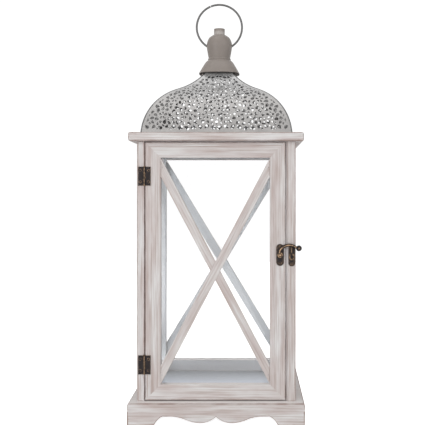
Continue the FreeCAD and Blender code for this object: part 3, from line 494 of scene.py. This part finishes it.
# %% [markdown]
# The pattern repeats a flower of small petals in rings of curling leaves. The flowers stand in rows,
# each row shifted by half a step, and the left half mirrors the right. The holes were cut by hand, so
# they differ a little. A row of leaves runs along the foot, small leaves fill the gaps between the
# flowers, and the very edge of the sheet is left plain. Where the sheet leans back, the pattern is drawn
# taller, so that it looks more even from in front.

# %% Where the drawn pattern comes to lie
# For this share the drawn pattern is as tall as the bent sheet, and for the rest as tall as the flat one
SEEN_SHARE = 0.7
STRIPS = 38
levels = [PANEL_LONG * step / STRIPS for step in range(STRIPS + 1)]
drawn = [0]
for low, high in zip(levels, levels[1:]):
    seen_rise = profile(high).y - profile(low).y
    drawn.append(drawn[-1] + (1 - SEEN_SHARE) * (high - low) + SEEN_SHARE * seen_rise)


def developed(spot):
    """Where a point of the drawn pattern comes to lie on the flat sheet."""
    for low, high, rise, following in zip(drawn, drawn[1:], levels, levels[1:]):
        if spot.y <= high:
            break
    return Vector((spot.x, rise + (following - rise) * (spot.y - low) / (high - low)))


print("the drawn pattern is", round(drawn[-1]), "mm tall")

# %% Shapes of the holes
# The corners of a leaf, and its width as the formula below gives it
LEAF_CORNERS, LEAF_WIDE = 12, 1.54
# The rings of a flower: radius, number of holes, their length and width, and how far they lean
RINGS = ((4.2, 5, 5.2, 3.6, 0), (11, 9, 8, 5.4, 0.7), (18, 15, 7.8, 5.2, -0.7))
# How far apart flowers and rows are, and within what share of a row's distance a flower's holes lie
STEP, ROW, ROW_SHARE = 34.5, 30, 0.6
# How far the holes are turned, and how much smaller and larger they are made
TURNED, SMALLER, LARGER = 0.14, -0.2, 0.12
chance = random.Random(4)


def leaf(centre, angle, long, wide, curl=0):
    """A leaf-shaped hole: round at one end, pointed at the other, and bent to one side."""
    spots = []
    for step in range(LEAF_CORNERS):
        turn = 2 * math.pi * (step + 0.5) / LEAF_CORNERS
        across = math.sin(turn) * math.sin(turn / 2) * wide / LEAF_WIDE
        spot = Vector((math.cos(turn) * long / 2, across + curl * math.cos(turn) ** 2))
        spots.append(centre + Matrix.Rotation(angle, 2) @ spot)
    return spots


def flower(centre, curl):
    """Petals in a ring of leaves, and leaves that lean the other way round them. Curl 0 makes it straight."""
    holes = []
    for radius, count, long, wide, lean in RINGS:
        for step in range(count):
            angle = math.pi / 2 + 2 * math.pi * step / count + curl * chance.uniform(-TURNED, TURNED)
            size = 1 + curl * chance.uniform(SMALLER, LARGER)
            spot = centre + radius * Vector((math.cos(angle), math.sin(angle)))
            if abs(spot.x - centre.x) <= STEP / 2 and abs(spot.y - centre.y) <= ROW * ROW_SHARE:
                towards = angle + math.pi + curl * lean
                holes.append(leaf(spot, towards, size * long, size * wide, curl * lean))
    return holes


print("a flower has up to", sum(ring[1] for ring in RINGS), "holes")


# %% Lay the flowers out
def mirrored(hole):
    """The same hole in the other half of the panel."""
    return [Vector((-corner.x, corner.y)) for corner in hole]


FIRST_ROW, ROWS, COLUMNS = 29, 5, 6
flowers = []
for row in range(-1, ROWS):
    for column in range(COLUMNS):
        spot = Vector((column * STEP + (0 if row % 2 else STEP / 2), FIRST_ROW + row * ROW))
        holes = [list(map(developed, hole)) for hole in flower(spot, 1 if spot.x else 0)]
        flowers += holes
        if spot.x:
            flowers += map(mirrored, holes)
print(len(flowers), "holes in the flowers")

# %% [markdown]
# The leaves along the foot come first. A hole that would run into the sheet's plain edge is cut off
# along it, and dropped if little is left. The hips are curved, so each hole is clipped against the
# hip's tangent beside it. A hole that comes too near to another is made smaller, or else left out.


# %% Tools for shaping holes
def clipped(hole, point, normal):
    """The part of a hole that lies on the side of a line that its normal points to."""
    kept = []
    for here, following in zip(hole, hole[1:] + hole[:1]):
        a, b = (here - point).dot(normal), (following - point).dot(normal)
        if a >= 0:
            kept.append(here)
        if a * b < 0:
            kept.append(here.lerp(following, a / (a - b)))
    return kept


def area(hole):
    """The area of an outline."""
    return abs(sum(a.x * b.y - b.x * a.y for a, b in zip(hole, hole[1:] + hole[:1]))) / 2


def middle(hole):
    """The middle of a hole's corners."""
    return sum(hole, Vector((0, 0))) / len(hole)


def rim(hole):
    """A hole's corners, and the points half-way between them."""
    return hole + [(here + following) / 2 for here, following in zip(hole, hole[1:] + hole[:1])]


def hip(rise, side):
    """A point of the flat sheet's slanted edge, and the direction that points inwards from it."""
    low, high = max(rise - 1, 0), min(rise + 1, PANEL_LONG)
    along = Vector((side * (profile(high).x - profile(low).x), high - low)).normalized()
    return Vector((side * profile(rise).x, rise)), Vector((-side * along.y, side * along.x))


print("the hip starts", round(hip(0, 1)[0].x, 1), "mm from the middle")

# %% Tools for placing holes
# The plain bands along the sheet's edges, and the smallest hole and web, in millimetres
FOOT_BAND, HIP_BAND, TOP_BAND, LEAST_AREA, LEAST_WEB = 5, 5.5, 3, 4, 1.1
# Holes whose middles lie further apart than this aren't compared
NEAR = 16
punched, middles, rims = [], [], []


def crowded(hole):
    """Whether a hole comes so near to a punched one that the web between them would tear."""
    spot = middle(hole)
    near = [edge for other, edge in zip(middles, rims) if (other - spot).length < NEAR]
    return any((a - b).length < LEAST_WEB for edge in near for a in edge for b in hole)


def punch(hole):
    """Punch a hole."""
    punched.append(hole)
    middles.append(middle(hole))
    rims.append(rim(hole))


def inside(hole):
    """What is left of a hole inside the plain bands along the foot, the top and the hip beside it."""
    spot = middle(hole)
    hole = clipped(hole, Vector((0, FOOT_BAND)), Vector((0, 1)))
    hole = clipped(hole, Vector((0, PANEL_LONG - TOP_BAND)), Vector((0, -1)))
    edge, inward = hip(min(max(spot.y, 0), PANEL_LONG), math.copysign(1, spot.x))
    return clipped(hole, edge + HIP_BAND * inward, inward)


def fit(hole, shares):
    """Punch a hole at the largest of the given shares of its size that leaves a web beside it."""
    hole = inside(hole)
    if len(hole) < 3:
        return
    for share in shares:
        smaller = [middle(hole).lerp(corner, share) for corner in hole]
        if area(smaller) > LEAST_AREA and not crowded(smaller):
            punch(smaller)
            return


print("a web between two holes is at least", LEAST_WEB, "mm wide")

# %% Punch the row of leaves along the foot
FOOT_MIDDLE, FOOT_STEP, FOOT_LONG, FOOT_TALL, FOOT_END = 8.4, 10.6, 9.6, 7, 14
# Between what limits the leaves are sized, lean and are lifted
FOOT_SIZES, FOOT_LEANS, FOOT_LIFTS = (0.7, 1.1), (0.2, 0.9), (-0.6, 2)
for step in range(int((profile(0).x - FOOT_END) / FOOT_STEP) + 1):
    size = chance.uniform(*FOOT_SIZES)
    lean = chance.uniform(*FOOT_LEANS) * (-1) ** step
    spot = Vector(((step + 0.5) * FOOT_STEP, FOOT_MIDDLE + chance.uniform(*FOOT_LIFTS)))
    hole = leaf(spot, lean, size * FOOT_LONG, size * FOOT_TALL)
    punch(hole)
    punch(mirrored(hole))
print(len(punched), "leaves stand along the foot")

# %% Punch the flowers, and fill the gaps between them
FLOWER_SHARES, FILLER_SHARES = (1, 0.85, 0.7), (1, 0.8, 0.64)
FILLER_LONG, FILLER_WIDE, FILLER_CURL, FILLER_START, FILLER_STEP = 7, 4.8, 0.5, 6, 3
for hole in flowers:
    fit(hole, FLOWER_SHARES)
print(len(punched), "holes with the flowers")
for height in range(FILLER_START, int(drawn[-1]), FILLER_STEP):
    for across in range(0, int(profile(developed(Vector((0, height))).y).x), FILLER_STEP):
        spot, turn = Vector((across + FILLER_STEP / 2, height)), chance.uniform(0, 2 * math.pi)
        hole = list(map(developed, leaf(spot, turn, FILLER_LONG, FILLER_WIDE, FILLER_CURL)))
        fit(hole, FILLER_SHARES)
        fit(mirrored(hole), FILLER_SHARES)
widths = [2 * profile((low + high) / 2).x for low, high in zip(levels, levels[1:])]
sheet_area = sum(widths) * PANEL_LONG / STRIPS
print(len(punched), "holes take", round(100 * sum(map(area, punched)) / sheet_area), "% of the sheet")

# %% Fill the flat sheet
hips = [Vector((profile(rise).x, rise)) for rise in levels]
flange_end = Vector((profile(0).x - FLANGE, -FLANGE))
right_edge = [flange_end] + hips
left_edge = mirrored(reversed(right_edge))
blank = bpy.data.curves.new("flat_panel", "CURVE")
blank.dimensions = "2D"
blank.fill_mode = "BOTH"
for outline in [right_edge + left_edge] + punched:
    spline = blank.splines.new("POLY")
    spline.points.add(len(outline) - 1)
    for point, spot in zip(spline.points, outline):
        point.co = (spot.x * MM, spot.y * MM, 0, 1)
    spline.use_cyclic_u = True
panel = bpy.data.objects.new("flat_panel", blank)
bpy.context.scene.collection.objects.link(panel)
bpy.ops.object.select_all(action="DESELECT")
panel.select_set(True)
bpy.context.view_layer.objects.active = panel
bpy.ops.object.convert(target="MESH")
panel = bpy.context.object
print("the flat panel has", len(panel.data.polygons), "faces")

# %% Cut it into strips and give it its thickness
MERGED = 0.02
bpy.ops.object.mode_set(mode="EDIT")
bpy.ops.mesh.select_all(action="SELECT")
bpy.ops.mesh.remove_doubles(threshold=MERGED * MM)
for rise in levels[:-1]:
    bpy.ops.mesh.select_all(action="SELECT")
    bpy.ops.mesh.bisect(plane_co=(0, rise * MM, 0), plane_no=(0, 1, 0))
bpy.ops.mesh.select_all(action="SELECT")
bpy.ops.mesh.extrude_region_move(TRANSFORM_OT_translate={"value": (0, 0, SHEET * MM)})
bpy.ops.object.mode_set(mode="OBJECT")
print("cut and thickened, it has", len(panel.data.polygons), "faces")

# %% [markdown]
# Bending is only moving the vertices: how far up the flat sheet a vertex lies tells where on the profile
# it goes, and its depth in the sheet tells how far inside. Towards the inside the sheet grows narrower,
# so that two panels meet at the hip in a mitre.


# %% Bend it to the dome's profile
def turn_outwards(smooth_below):
    """Makes the active mesh's faces look outwards, and shades it smooth below an angle in degrees."""
    bpy.ops.object.mode_set(mode="EDIT")
    bpy.ops.mesh.select_all(action="SELECT")
    bpy.ops.mesh.normals_make_consistent(inside=False)
    bpy.ops.object.mode_set(mode="OBJECT")
    bpy.ops.object.shade_smooth_by_angle(angle=math.radians(smooth_below))


# Vertices this near to the fold of the flange lie on it. The sheet is shaded smooth below an angle
ON_FOLD, SHEET_SMOOTH = 0.01, 35
for vertex in panel.data.vertices:
    across, rise, depth = vertex.co / MM
    rise = 0 if abs(rise) < ON_FOLD else rise
    outer, inner = profile(rise), profile(rise, depth)
    vertex.co = Vector((across * inner.x / outer.x, -inner.x, inner.y)) * MM
turn_outwards(SHEET_SMOOTH)
print("the panel now reaches", round(max(vertex.co.z for vertex in panel.data.vertices) / MM, 2), "mm")

# %% [markdown]
# ## Galvanised sheet
# The dome is galvanised steel with a dusty white finish rubbed into it: a light, slightly warm grey with
# faint clouds and a soft sheen. The neck is painted whiter, as painted light where the skirt shades it, and
# the inside is painted as light as the lightest clouds, as painted light inside the dome's shade. The punched
# edges are a little rounded, which a Bevel node gives to the shading without more faces.


# %% Dome material
def clouded(tree, shader, size, detail, colours, roughness):
    """Two colours and two degrees of roughness in clouds: the place, the clouds and the colour."""
    spot = add(tree, "ShaderNodeTexCoord").outputs["Object"]
    inputs = {"Vector": spot, "Scale": 1 / (size * MM), "Detail": detail}
    cloud = add(tree, "ShaderNodeTexNoise", inputs).outputs[0]
    inputs = {"Value": cloud, "To Min": roughness[0], "To Max": roughness[1]}
    dull = add(tree, "ShaderNodeMapRange", inputs)
    tree.links.new(dull.outputs[0], shader.inputs["Roughness"])
    inputs = {0: cloud, MIX_A: linear(colours[0]), MIX_B: linear(colours[1])}
    colour = add(tree, "ShaderNodeMix", inputs, data_type="RGBA")
    return spot, cloud, colour.outputs[MIXED]


# In millimetres: the heights between which the sheet is painted whiter as painted light, the clouds, and the
# rounded edges
NECK_LOW, NECK_HIGH, SHEET_CLOUD, SHEET_EDGE = 515, 545, 14, 0.45
# A face's place times its normal, in millimetres, is under the second of these on the sheet's inside
EDGE_FACE, INNER_FACE = -5, -20
sheet_metal, tree, shader = new_material("rubbed_galvanised_steel")
greys, sheens = ("#908e8d", "#b0aeac"), (0.36, 0.56)
spot, _, colour = clouded(tree, shader, SHEET_CLOUD, 4, greys, sheens)
# The neck is painted whiter: painted light where the skirt shades it
height = add(tree, "ShaderNodeSeparateXYZ", {0: spot}).outputs["Z"]
limits = {"From Min": NECK_LOW * MM, "From Max": NECK_HIGH * MM, "To Max": 0.6}
neck_light = add(tree, "ShaderNodeMapRange", {"Value": height, **limits})
inputs = {0: neck_light.outputs[0], MIX_A: colour, MIX_B: linear("#c8c8c8")}
colour = add(tree, "ShaderNodeMix", inputs, data_type="RGBA")
# The sheet's inside is painted lighter: painted light where the dome shades its own inside
around = add(tree, "ShaderNodeVectorMath", {0: spot, 1: (1, 1, 0)}, operation="MULTIPLY").outputs[0]
facing = add(tree, "ShaderNodeTexCoord").outputs["Normal"]
outwards = add(tree, "ShaderNodeVectorMath", {0: around, 1: facing}, operation="DOT_PRODUCT")
limits = {"From Min": EDGE_FACE * MM, "From Max": INNER_FACE * MM}
inner = add(tree, "ShaderNodeMapRange", {"Value": outwards.outputs["Value"], **limits})
inputs = {0: inner.outputs[0], MIX_A: colour.outputs[MIXED], MIX_B: linear("#aeacaa")}
colour = add(tree, "ShaderNodeMix", inputs, data_type="RGBA")
tree.links.new(colour.outputs[MIXED], shader.inputs["Base Color"])
shader.inputs["Metallic"].default_value = 0.4
rounded = add(tree, "ShaderNodeBevel", {"Radius": SHEET_EDGE * MM}, samples=6)
tree.links.new(rounded.outputs[0], shader.inputs["Normal"])
dress(panel, sheet_metal)
print("the sheet has clouds of", SHEET_CLOUD, "mm")

# %% Four panels from one
for quarter, side in enumerate(("front", "right", "rear", "left")):
    copy = panel.copy()
    copy.data = panel.data.copy()
    copy.name = copy.data.name = f"pierced_{side}_panel"
    copy.data.transform(Matrix.Rotation(math.radians(90 * quarter), 4, "Z"))
    bpy.context.scene.collection.objects.link(copy)
    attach(copy, "frame")
    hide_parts(f"dome_{side}_panel")
    print(copy.name, len(copy.data.polygons), "faces")
bpy.data.objects.remove(panel)

# %% [markdown]
# ## Finial and ring
# The finial is turned metal under a satin taupe-grey paint. Paint is no metal: a plain colour, a soft
# highlight, and a faint unevenness from the spray gun. The ring is bare steel wire that has gone dull.

# %% Finial paint
# Heights on the cap, which is painted almost white from its foot up, fading back to the paint's colour higher
# up: rubbed paint and a painted highlight
CAP_FOOT, CAP_WHITEST, CAP_WHITE_ENDS = 639.1, 643, 647
PAINT_CLOUD, SPRAY_GRAIN = 22, 1.6
paint, tree, shader = new_material("satin_taupe_paint")
taupes, sheens = ("#827a74", "#948b85"), (0.38, 0.52)
spot, _, colour = clouded(tree, shader, PAINT_CLOUD, 5, taupes, sheens)
height = add(tree, "ShaderNodeSeparateXYZ", {0: spot}).outputs["Z"]
# The cap's lower part is painted almost white: rubbed paint, and a painted highlight
above = add(tree, "ShaderNodeMath", {0: height, 1: CAP_FOOT * MM}, operation="GREATER_THAN")
limits = {"From Min": CAP_WHITE_ENDS * MM, "From Max": CAP_WHITEST * MM, "To Max": 0.5}
below = add(tree, "ShaderNodeMapRange", {"Value": height, **limits})
wear_and_highlight = add(tree, "ShaderNodeMath", {0: above.outputs[0], 1: below.outputs[0]}, operation="MULTIPLY")
inputs = {0: wear_and_highlight.outputs[0], MIX_A: colour, MIX_B: linear("#d0cbc7")}
colour = add(tree, "ShaderNodeMix", inputs, data_type="RGBA")
tree.links.new(colour.outputs[MIXED], shader.inputs["Base Color"])
shader.inputs["Specular IOR Level"].default_value = 0.3
inputs = {"Vector": spot, "Scale": 1 / (SPRAY_GRAIN * MM), "Detail": 2}
spray = add(tree, "ShaderNodeTexNoise", inputs)
inputs = {"Height": spray.outputs[0], "Distance": 0.05 * MM, "Strength": 0.5}
relief = add(tree, "ShaderNodeBump", inputs)
tree.links.new(relief.outputs[0], shader.inputs["Normal"])
for name in ("finial_bulb", "finial_cap"):
    dress(parts[name], paint)
print("painted the finial")

# %% [markdown]
# The skirt is square with rounded corners at its rim, like the dome below it, and round at its neck,
# where a bead lies round the foot of the bulb. It grows ring by ring from a circle, and each ring is
# then pushed out towards its corners: an exponent of 2 leaves a circle, and 4 is nearly a square.

# %% Skirt of the finial
# Half-width and height of each ring in millimetres, and its exponent. Turned work is smooth below an angle
TURNED_SMOOTH = 40
SKIRT = [(34.2, 571, 3), (34.1, 571.7, 3), (28.7, 581.4, 2.8), (24, 589.5, 2.5)]
SKIRT += [(21.8, 592.2, 2.2), (19.8, 594, 2), (18.9, 595.2, 2), (18.6, 595.8, 2)]
SKIRT += [(18.9, 596.2, 2), (19, 596.8, 2), (18.9, 597.4, 2), (18.45, 597.8, 2)]
AROUND, SKIRT_WALL = 72, 0.8
rim_radius, rim_height, _ = SKIRT[0]
bpy.ops.object.select_all(action="DESELECT")
spot = (0, 0, rim_height * MM)
bpy.ops.mesh.primitive_circle_add(vertices=AROUND, radius=rim_radius * MM, location=spot)
bpy.ops.object.transform_apply(location=True)
skirt = bpy.context.object
skirt.name = skirt.data.name = "square_finial_skirt"
bpy.ops.object.mode_set(mode="EDIT")
bpy.ops.mesh.select_all(action="SELECT")
for (radius, height, _), (next_radius, next_height, _) in zip(SKIRT, SKIRT[1:]):
    rise = (0, 0, (next_height - height) * MM)
    bpy.ops.mesh.extrude_region_move(TRANSFORM_OT_translate={"value": rise})
    grow = next_radius / radius
    bpy.ops.transform.resize(value=(grow, grow, 1), center_override=(0, 0, next_height * MM))
bpy.ops.object.mode_set(mode="OBJECT")
print(skirt.name, "has", len(SKIRT), "rings")

# %% Square the skirt and thicken it
for index, (radius, _, corners) in enumerate(SKIRT):
    for vertex in skirt.data.vertices[index * AROUND : (index + 1) * AROUND]:
        x, y = vertex.co.x / (radius * MM), vertex.co.y / (radius * MM)
        vertex.co.xy *= (abs(x) ** corners + abs(y) ** corners) ** (-1 / corners)
wall = skirt.modifiers.new("wall", "SOLIDIFY")
wall.thickness = SKIRT_WALL * MM
bpy.ops.object.modifier_apply(modifier=wall.name)
turn_outwards(TURNED_SMOOTH)
dress(skirt, paint)
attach(skirt, "frame")
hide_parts("finial_skirt")
print(skirt.name, len(skirt.data.polygons), "faces")

# %% Ring and hidden steel
STEEL_CLOUD = 6
steel, tree, shader = new_material("dull_steel_wire")
greys, sheens = ("#504f4f", "#6c6b6a"), (0.34, 0.5)
_, _, colour = clouded(tree, shader, STEEL_CLOUD, 4, greys, sheens)
tree.links.new(colour, shader.inputs["Base Color"])
shader.inputs["Metallic"].default_value = 0.8
STEEL = ("ring_handle", "frame_screws", "finial_bolt_and_nut", "dome_fixing_screws", "dome_crown_plate")
STEEL += ("door_bar_brads",)
for name in STEEL:
    dress(parts[name], steel)
print("steel on", STEEL)

# %% [markdown]
# Where two panels meet, their edges are folded over each other into a narrow seam that runs down each
# hip. It is a rod along the hip. The hook and the horn of the latch are tapered rods too, so one
# function makes them all: a curve with a bevel and a radius at each point, made a mesh.


# %% Hip seams
def rod(name, spots, radii):
    """A smooth round rod through points, in millimetres, with a radius at each."""
    line = bpy.data.curves.new(name, "CURVE")
    line.dimensions = "3D"
    line.bevel_depth = MM
    line.bevel_resolution = 4
    line.use_fill_caps = True
    spline = line.splines.new("NURBS")
    spline.points.add(len(spots) - 1)
    for point, spot, radius in zip(spline.points, spots, radii):
        point.co = (*(MM * Vector(spot)), 1)
        point.radius = radius
    spline.order_u = 3
    spline.use_endpoint_u = True
    made = bpy.data.objects.new(name, line)
    bpy.context.scene.collection.objects.link(made)
    bpy.ops.object.select_all(action="DESELECT")
    made.select_set(True)
    bpy.context.view_layer.objects.active = made
    bpy.ops.object.convert(target="MESH")
    bpy.ops.object.shade_smooth_by_angle(angle=math.radians(TURNED_SMOOTH))
    return bpy.context.object


SEAM_RADIUS, SEAM_DEPTH = 1.2, 0.7
spots = []
for rise in levels[::2]:
    out, height = profile(rise, SEAM_DEPTH)
    spots.append((out, -out, max(height, profile(0).y + SEAM_RADIUS)))
for quarter, corner in enumerate(("front_right", "rear_right", "rear_left", "front_left")):
    seam = rod(f"{corner}_hip_seam", spots, [SEAM_RADIUS] * len(spots))
    seam.data.transform(Matrix.Rotation(math.radians(90 * quarter), 4, "Z"))
    dress(seam, steel)
    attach(seam, "frame")
    print(seam.name, len(seam.data.polygons), "faces")

# %% [markdown]
# ## Hinges and latch
# The small hardware is bronzed steel: nearly black, and rubbed to copper and gold along its edges. Along the
# front of whatever stands proud of the wood, where fingers meet it, the gold is partly rubbed and partly a
# painted highlight.

# %% Bronze material
# The plates lie 127 mm in front of the lantern's middle. Barrels, hook and horn stand out further
PLATES_END, PROUD_START, BRONZE_CLOUD, BRONZE_EDGE = -127.8, -128.6, 4, 0.5
bronze, tree, shader = new_material("rubbed_and_highlit_bronze")
blacks, sheens = ("#161415", "#353030"), (0.36, 0.56)
spot, cloud, colour = clouded(tree, shader, BRONZE_CLOUD, 5, blacks, sheens)
limits = {"From Min": 0.99, "From Max": 0.88, "To Max": 0.9}
rounded, edge = rounded_edges(tree, BRONZE_EDGE, limits)
# What stands proud is painted gold where it faces forwards: rubbed by fingers, and a painted highlight
forward = add(tree, "ShaderNodeSeparateXYZ", {0: spot})
limits = {"From Min": PLATES_END * MM, "From Max": PROUD_START * MM}
proud = add(tree, "ShaderNodeMapRange", {"Value": forward.outputs["Y"], **limits})
facing = add(tree, "ShaderNodeTexCoord").outputs["Normal"]
facing = add(tree, "ShaderNodeSeparateXYZ", {0: facing})
limits = {"From Min": -0.93, "From Max": -1, "To Max": 0.72}
facing = add(tree, "ShaderNodeMapRange", {"Value": facing.outputs["Y"], **limits})
proud = add(tree, "ShaderNodeMath", {0: proud.outputs[0], 1: facing.outputs[0]}, operation="MULTIPLY")
# The rubbed edges, and the rubbed gold with its painted highlight on what stands proud
wear_and_highlight = add(tree, "ShaderNodeMath", {0: edge, 1: proud.outputs[0]}, operation="MAXIMUM")
limits = {"From Min": 0.4, "From Max": 0.6, "To Min": 0.25}
patchy = add(tree, "ShaderNodeMapRange", {"Value": cloud, **limits})
wear_and_highlight = add(tree, "ShaderNodeMath", {0: wear_and_highlight.outputs[0], 1: patchy.outputs[0]}, operation="MULTIPLY")
inputs = {0: wear_and_highlight.outputs[0], MIX_A: colour, MIX_B: linear("#d2ad88")}
colour = add(tree, "ShaderNodeMix", inputs, data_type="RGBA")
tree.links.new(colour.outputs[MIXED], shader.inputs["Base Color"])
shader.inputs["Metallic"].default_value = 0.85
tree.links.new(rounded, shader.inputs["Normal"])
BRONZE = ("hinge", "latch_", "catch_plate", "hardware_screws")
bronzed = [name for name in parts if any(word in name for word in BRONZE) and "stile" not in name]
for name in bronzed:
    dress(parts[name], bronze)
print("bronze on", bronzed)

# %% [markdown]
# ## The latch
# The photograph shows a hook like a bent horn, thick above its pivot and thinner towards a ball, and a
# catch with an oval eye below its own horn. Both plates have rounded ends and softened edges. They are
# modelled again, in the places that the CAD model gives them.

# %% Latch plates
# Places and sizes are in millimetres, and sizes are widths and heights
WOOD_FRONT, PLATE_THICK, PLATE_SOFT, PLATE_CORNERS = -126, 1.1, 0.45, 34
PIVOT, LATCH_SIZE = Vector((101.2, -129.3, 266.7)), (12.4, 34.8)
CATCH, CATCH_SIZE = Vector((119.8, -127.1, 265.2)), (11, 33.4)


def soften(piece, width, segments):
    """Bevels the edges of the active piece."""
    soft = piece.modifiers.new("soft_edge", "BEVEL")
    soft.width = width * MM
    soft.segments = segments
    bpy.ops.object.modifier_apply(modifier=soft.name)


def plate(name, spot, size):
    """A plate with round ends on the front of the wood: a disc pulled apart, thickened and bevelled."""
    wide, tall = size
    bpy.ops.object.select_all(action="DESELECT")
    bpy.ops.mesh.primitive_circle_add(vertices=PLATE_CORNERS, radius=wide / 2 * MM, fill_type="NGON")
    made = bpy.context.object
    made.name = made.data.name = name
    pull = (tall - wide) / 2 * MM
    bpy.ops.object.mode_set(mode="EDIT")
    bpy.ops.mesh.select_all(action="DESELECT")
    bpy.ops.object.mode_set(mode="OBJECT")
    for vertex in made.data.vertices:
        vertex.select = vertex.co.y > 0
    bpy.ops.object.mode_set(mode="EDIT")
    bpy.ops.transform.translate(value=(0, 2 * pull, 0))
    bpy.ops.mesh.select_all(action="SELECT")
    bpy.ops.mesh.extrude_region_move(TRANSFORM_OT_translate={"value": (0, 0, PLATE_THICK * MM)})
    bpy.ops.mesh.select_all(action="SELECT")
    bpy.ops.mesh.normals_make_consistent(inside=False)
    bpy.ops.object.mode_set(mode="OBJECT")
    made.rotation_euler = (math.radians(90), 0, 0)
    made.location = Vector((spot.x, WOOD_FRONT, spot.z)) * MM - Vector((0, 0, pull))
    bpy.ops.object.transform_apply(location=True, rotation=True)
    soften(made, PLATE_SOFT, segments=2)
    bpy.ops.object.shade_smooth_by_angle(angle=math.radians(TURNED_SMOOTH))
    return made


latch_plate = plate("bronze_latch_plate", PIVOT, LATCH_SIZE)
catch_plate = plate("bronze_catch_plate", CATCH, CATCH_SIZE)
print("plates of", len(latch_plate.data.polygons), "and", len(catch_plate.data.polygons), "faces")


# %% Hook
def joined(pieces):
    """The given pieces as one smooth mesh, at the origin, which keeps the name of the last."""
    for piece in pieces:
        piece.select_set(True)
        bpy.context.view_layer.objects.active = piece
    bpy.ops.object.transform_apply(location=True, rotation=True, scale=True)
    bpy.ops.object.join()
    bpy.ops.object.shade_smooth_by_angle(angle=math.radians(TURNED_SMOOTH))
    return bpy.context.object


# Points of the hook's middle line, right of and above its pivot, with the radius there
HOOK = [(-1, 0.5, 2), (-1.8, 3.6, 2.4), (0.2, 8.6, 2.6), (4.2, 12.6, 2.7), (10.2, 15.4, 2.6)]
HOOK += [(16.6, 16, 2.4), (21.8, 14.6, 2.1), (25.4, 11.9, 1.9), (29, 10.9, 1.9)]
HOOK_FRONT, BALL_RADIUS, BALL_SPOT = -130.2, 4.6, Vector((29.7, -1.9, 10.8))
BOSS_RADIUS, BOSS_DEEP, BOSS_SOFT, BOSS_CORNERS = 4.7, 3.4, 0.8, 34
spots = [(PIVOT.x + right, HOOK_FRONT, PIVOT.z + up) for right, up, radius in HOOK]
hook_arm = rod("bronze_hook", spots, [radius for right, up, radius in HOOK])
bpy.ops.mesh.primitive_uv_sphere_add(segments=28, ring_count=16, radius=BALL_RADIUS * MM)
ball = bpy.context.object
ball.location = (PIVOT + BALL_SPOT) * MM
bpy.ops.mesh.primitive_cylinder_add(vertices=BOSS_CORNERS, radius=BOSS_RADIUS * MM, depth=BOSS_DEEP * MM)
boss = bpy.context.object
boss.location = PIVOT * MM
boss.rotation_euler = (math.radians(90), 0, 0)
soften(boss, BOSS_SOFT, segments=3)
hook = joined((ball, boss, hook_arm))
print(hook.name, len(hook.data.polygons), "faces")

# %% Catch
# Points of the horn from the catch's middle, with the radius there: it comes forward and rises
HORN = [(-0.2, -0.4, 2.4, 2.1), (-0.4, -2.2, 4.6, 2.1), (-0.6, -2.6, 9, 1.8), (-0.8, -2.5, 13.9, 1.4)]
EYE_RADIUS, EYE_WIRE, EYE_TALL, EYE_SPOT = 3.5, 1.3, 1.3, Vector((0, -0.6, -1.4))
spots = [CATCH + Vector(point[:3]) for point in HORN]
horn = rod("bronze_catch_horn", spots, [point[3] for point in HORN])
sizes = {"major_radius": EYE_RADIUS * MM, "minor_radius": EYE_WIRE * MM}
bpy.ops.mesh.primitive_torus_add(**sizes, major_segments=32, minor_segments=12)
eye = bpy.context.object
eye.location = (CATCH + EYE_SPOT) * MM
eye.rotation_euler = (math.radians(90), 0, 0)
eye.scale = (1, EYE_TALL, 1)
catch_plate = joined((eye, horn, catch_plate))
print(catch_plate.name, len(catch_plate.data.polygons), "faces")

# %% Bronze the latch and hang it on its bodies
for piece, node, body in (
    (latch_plate, "latch_plate", "door"),
    (hook, "latch_hook", "hook"),
    (catch_plate, "catch_plate", "frame"),
):
    dress(piece, bronze)
    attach(piece, body)
    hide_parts(node)
    print(piece.name, "rides on the", body)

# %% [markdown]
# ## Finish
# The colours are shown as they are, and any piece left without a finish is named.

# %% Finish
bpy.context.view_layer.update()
bpy.context.scene.view_settings.view_transform = "Standard"
plain = [name for name, part in parts.items() if not part.data.materials]
print("pieces without a finish:", plain)
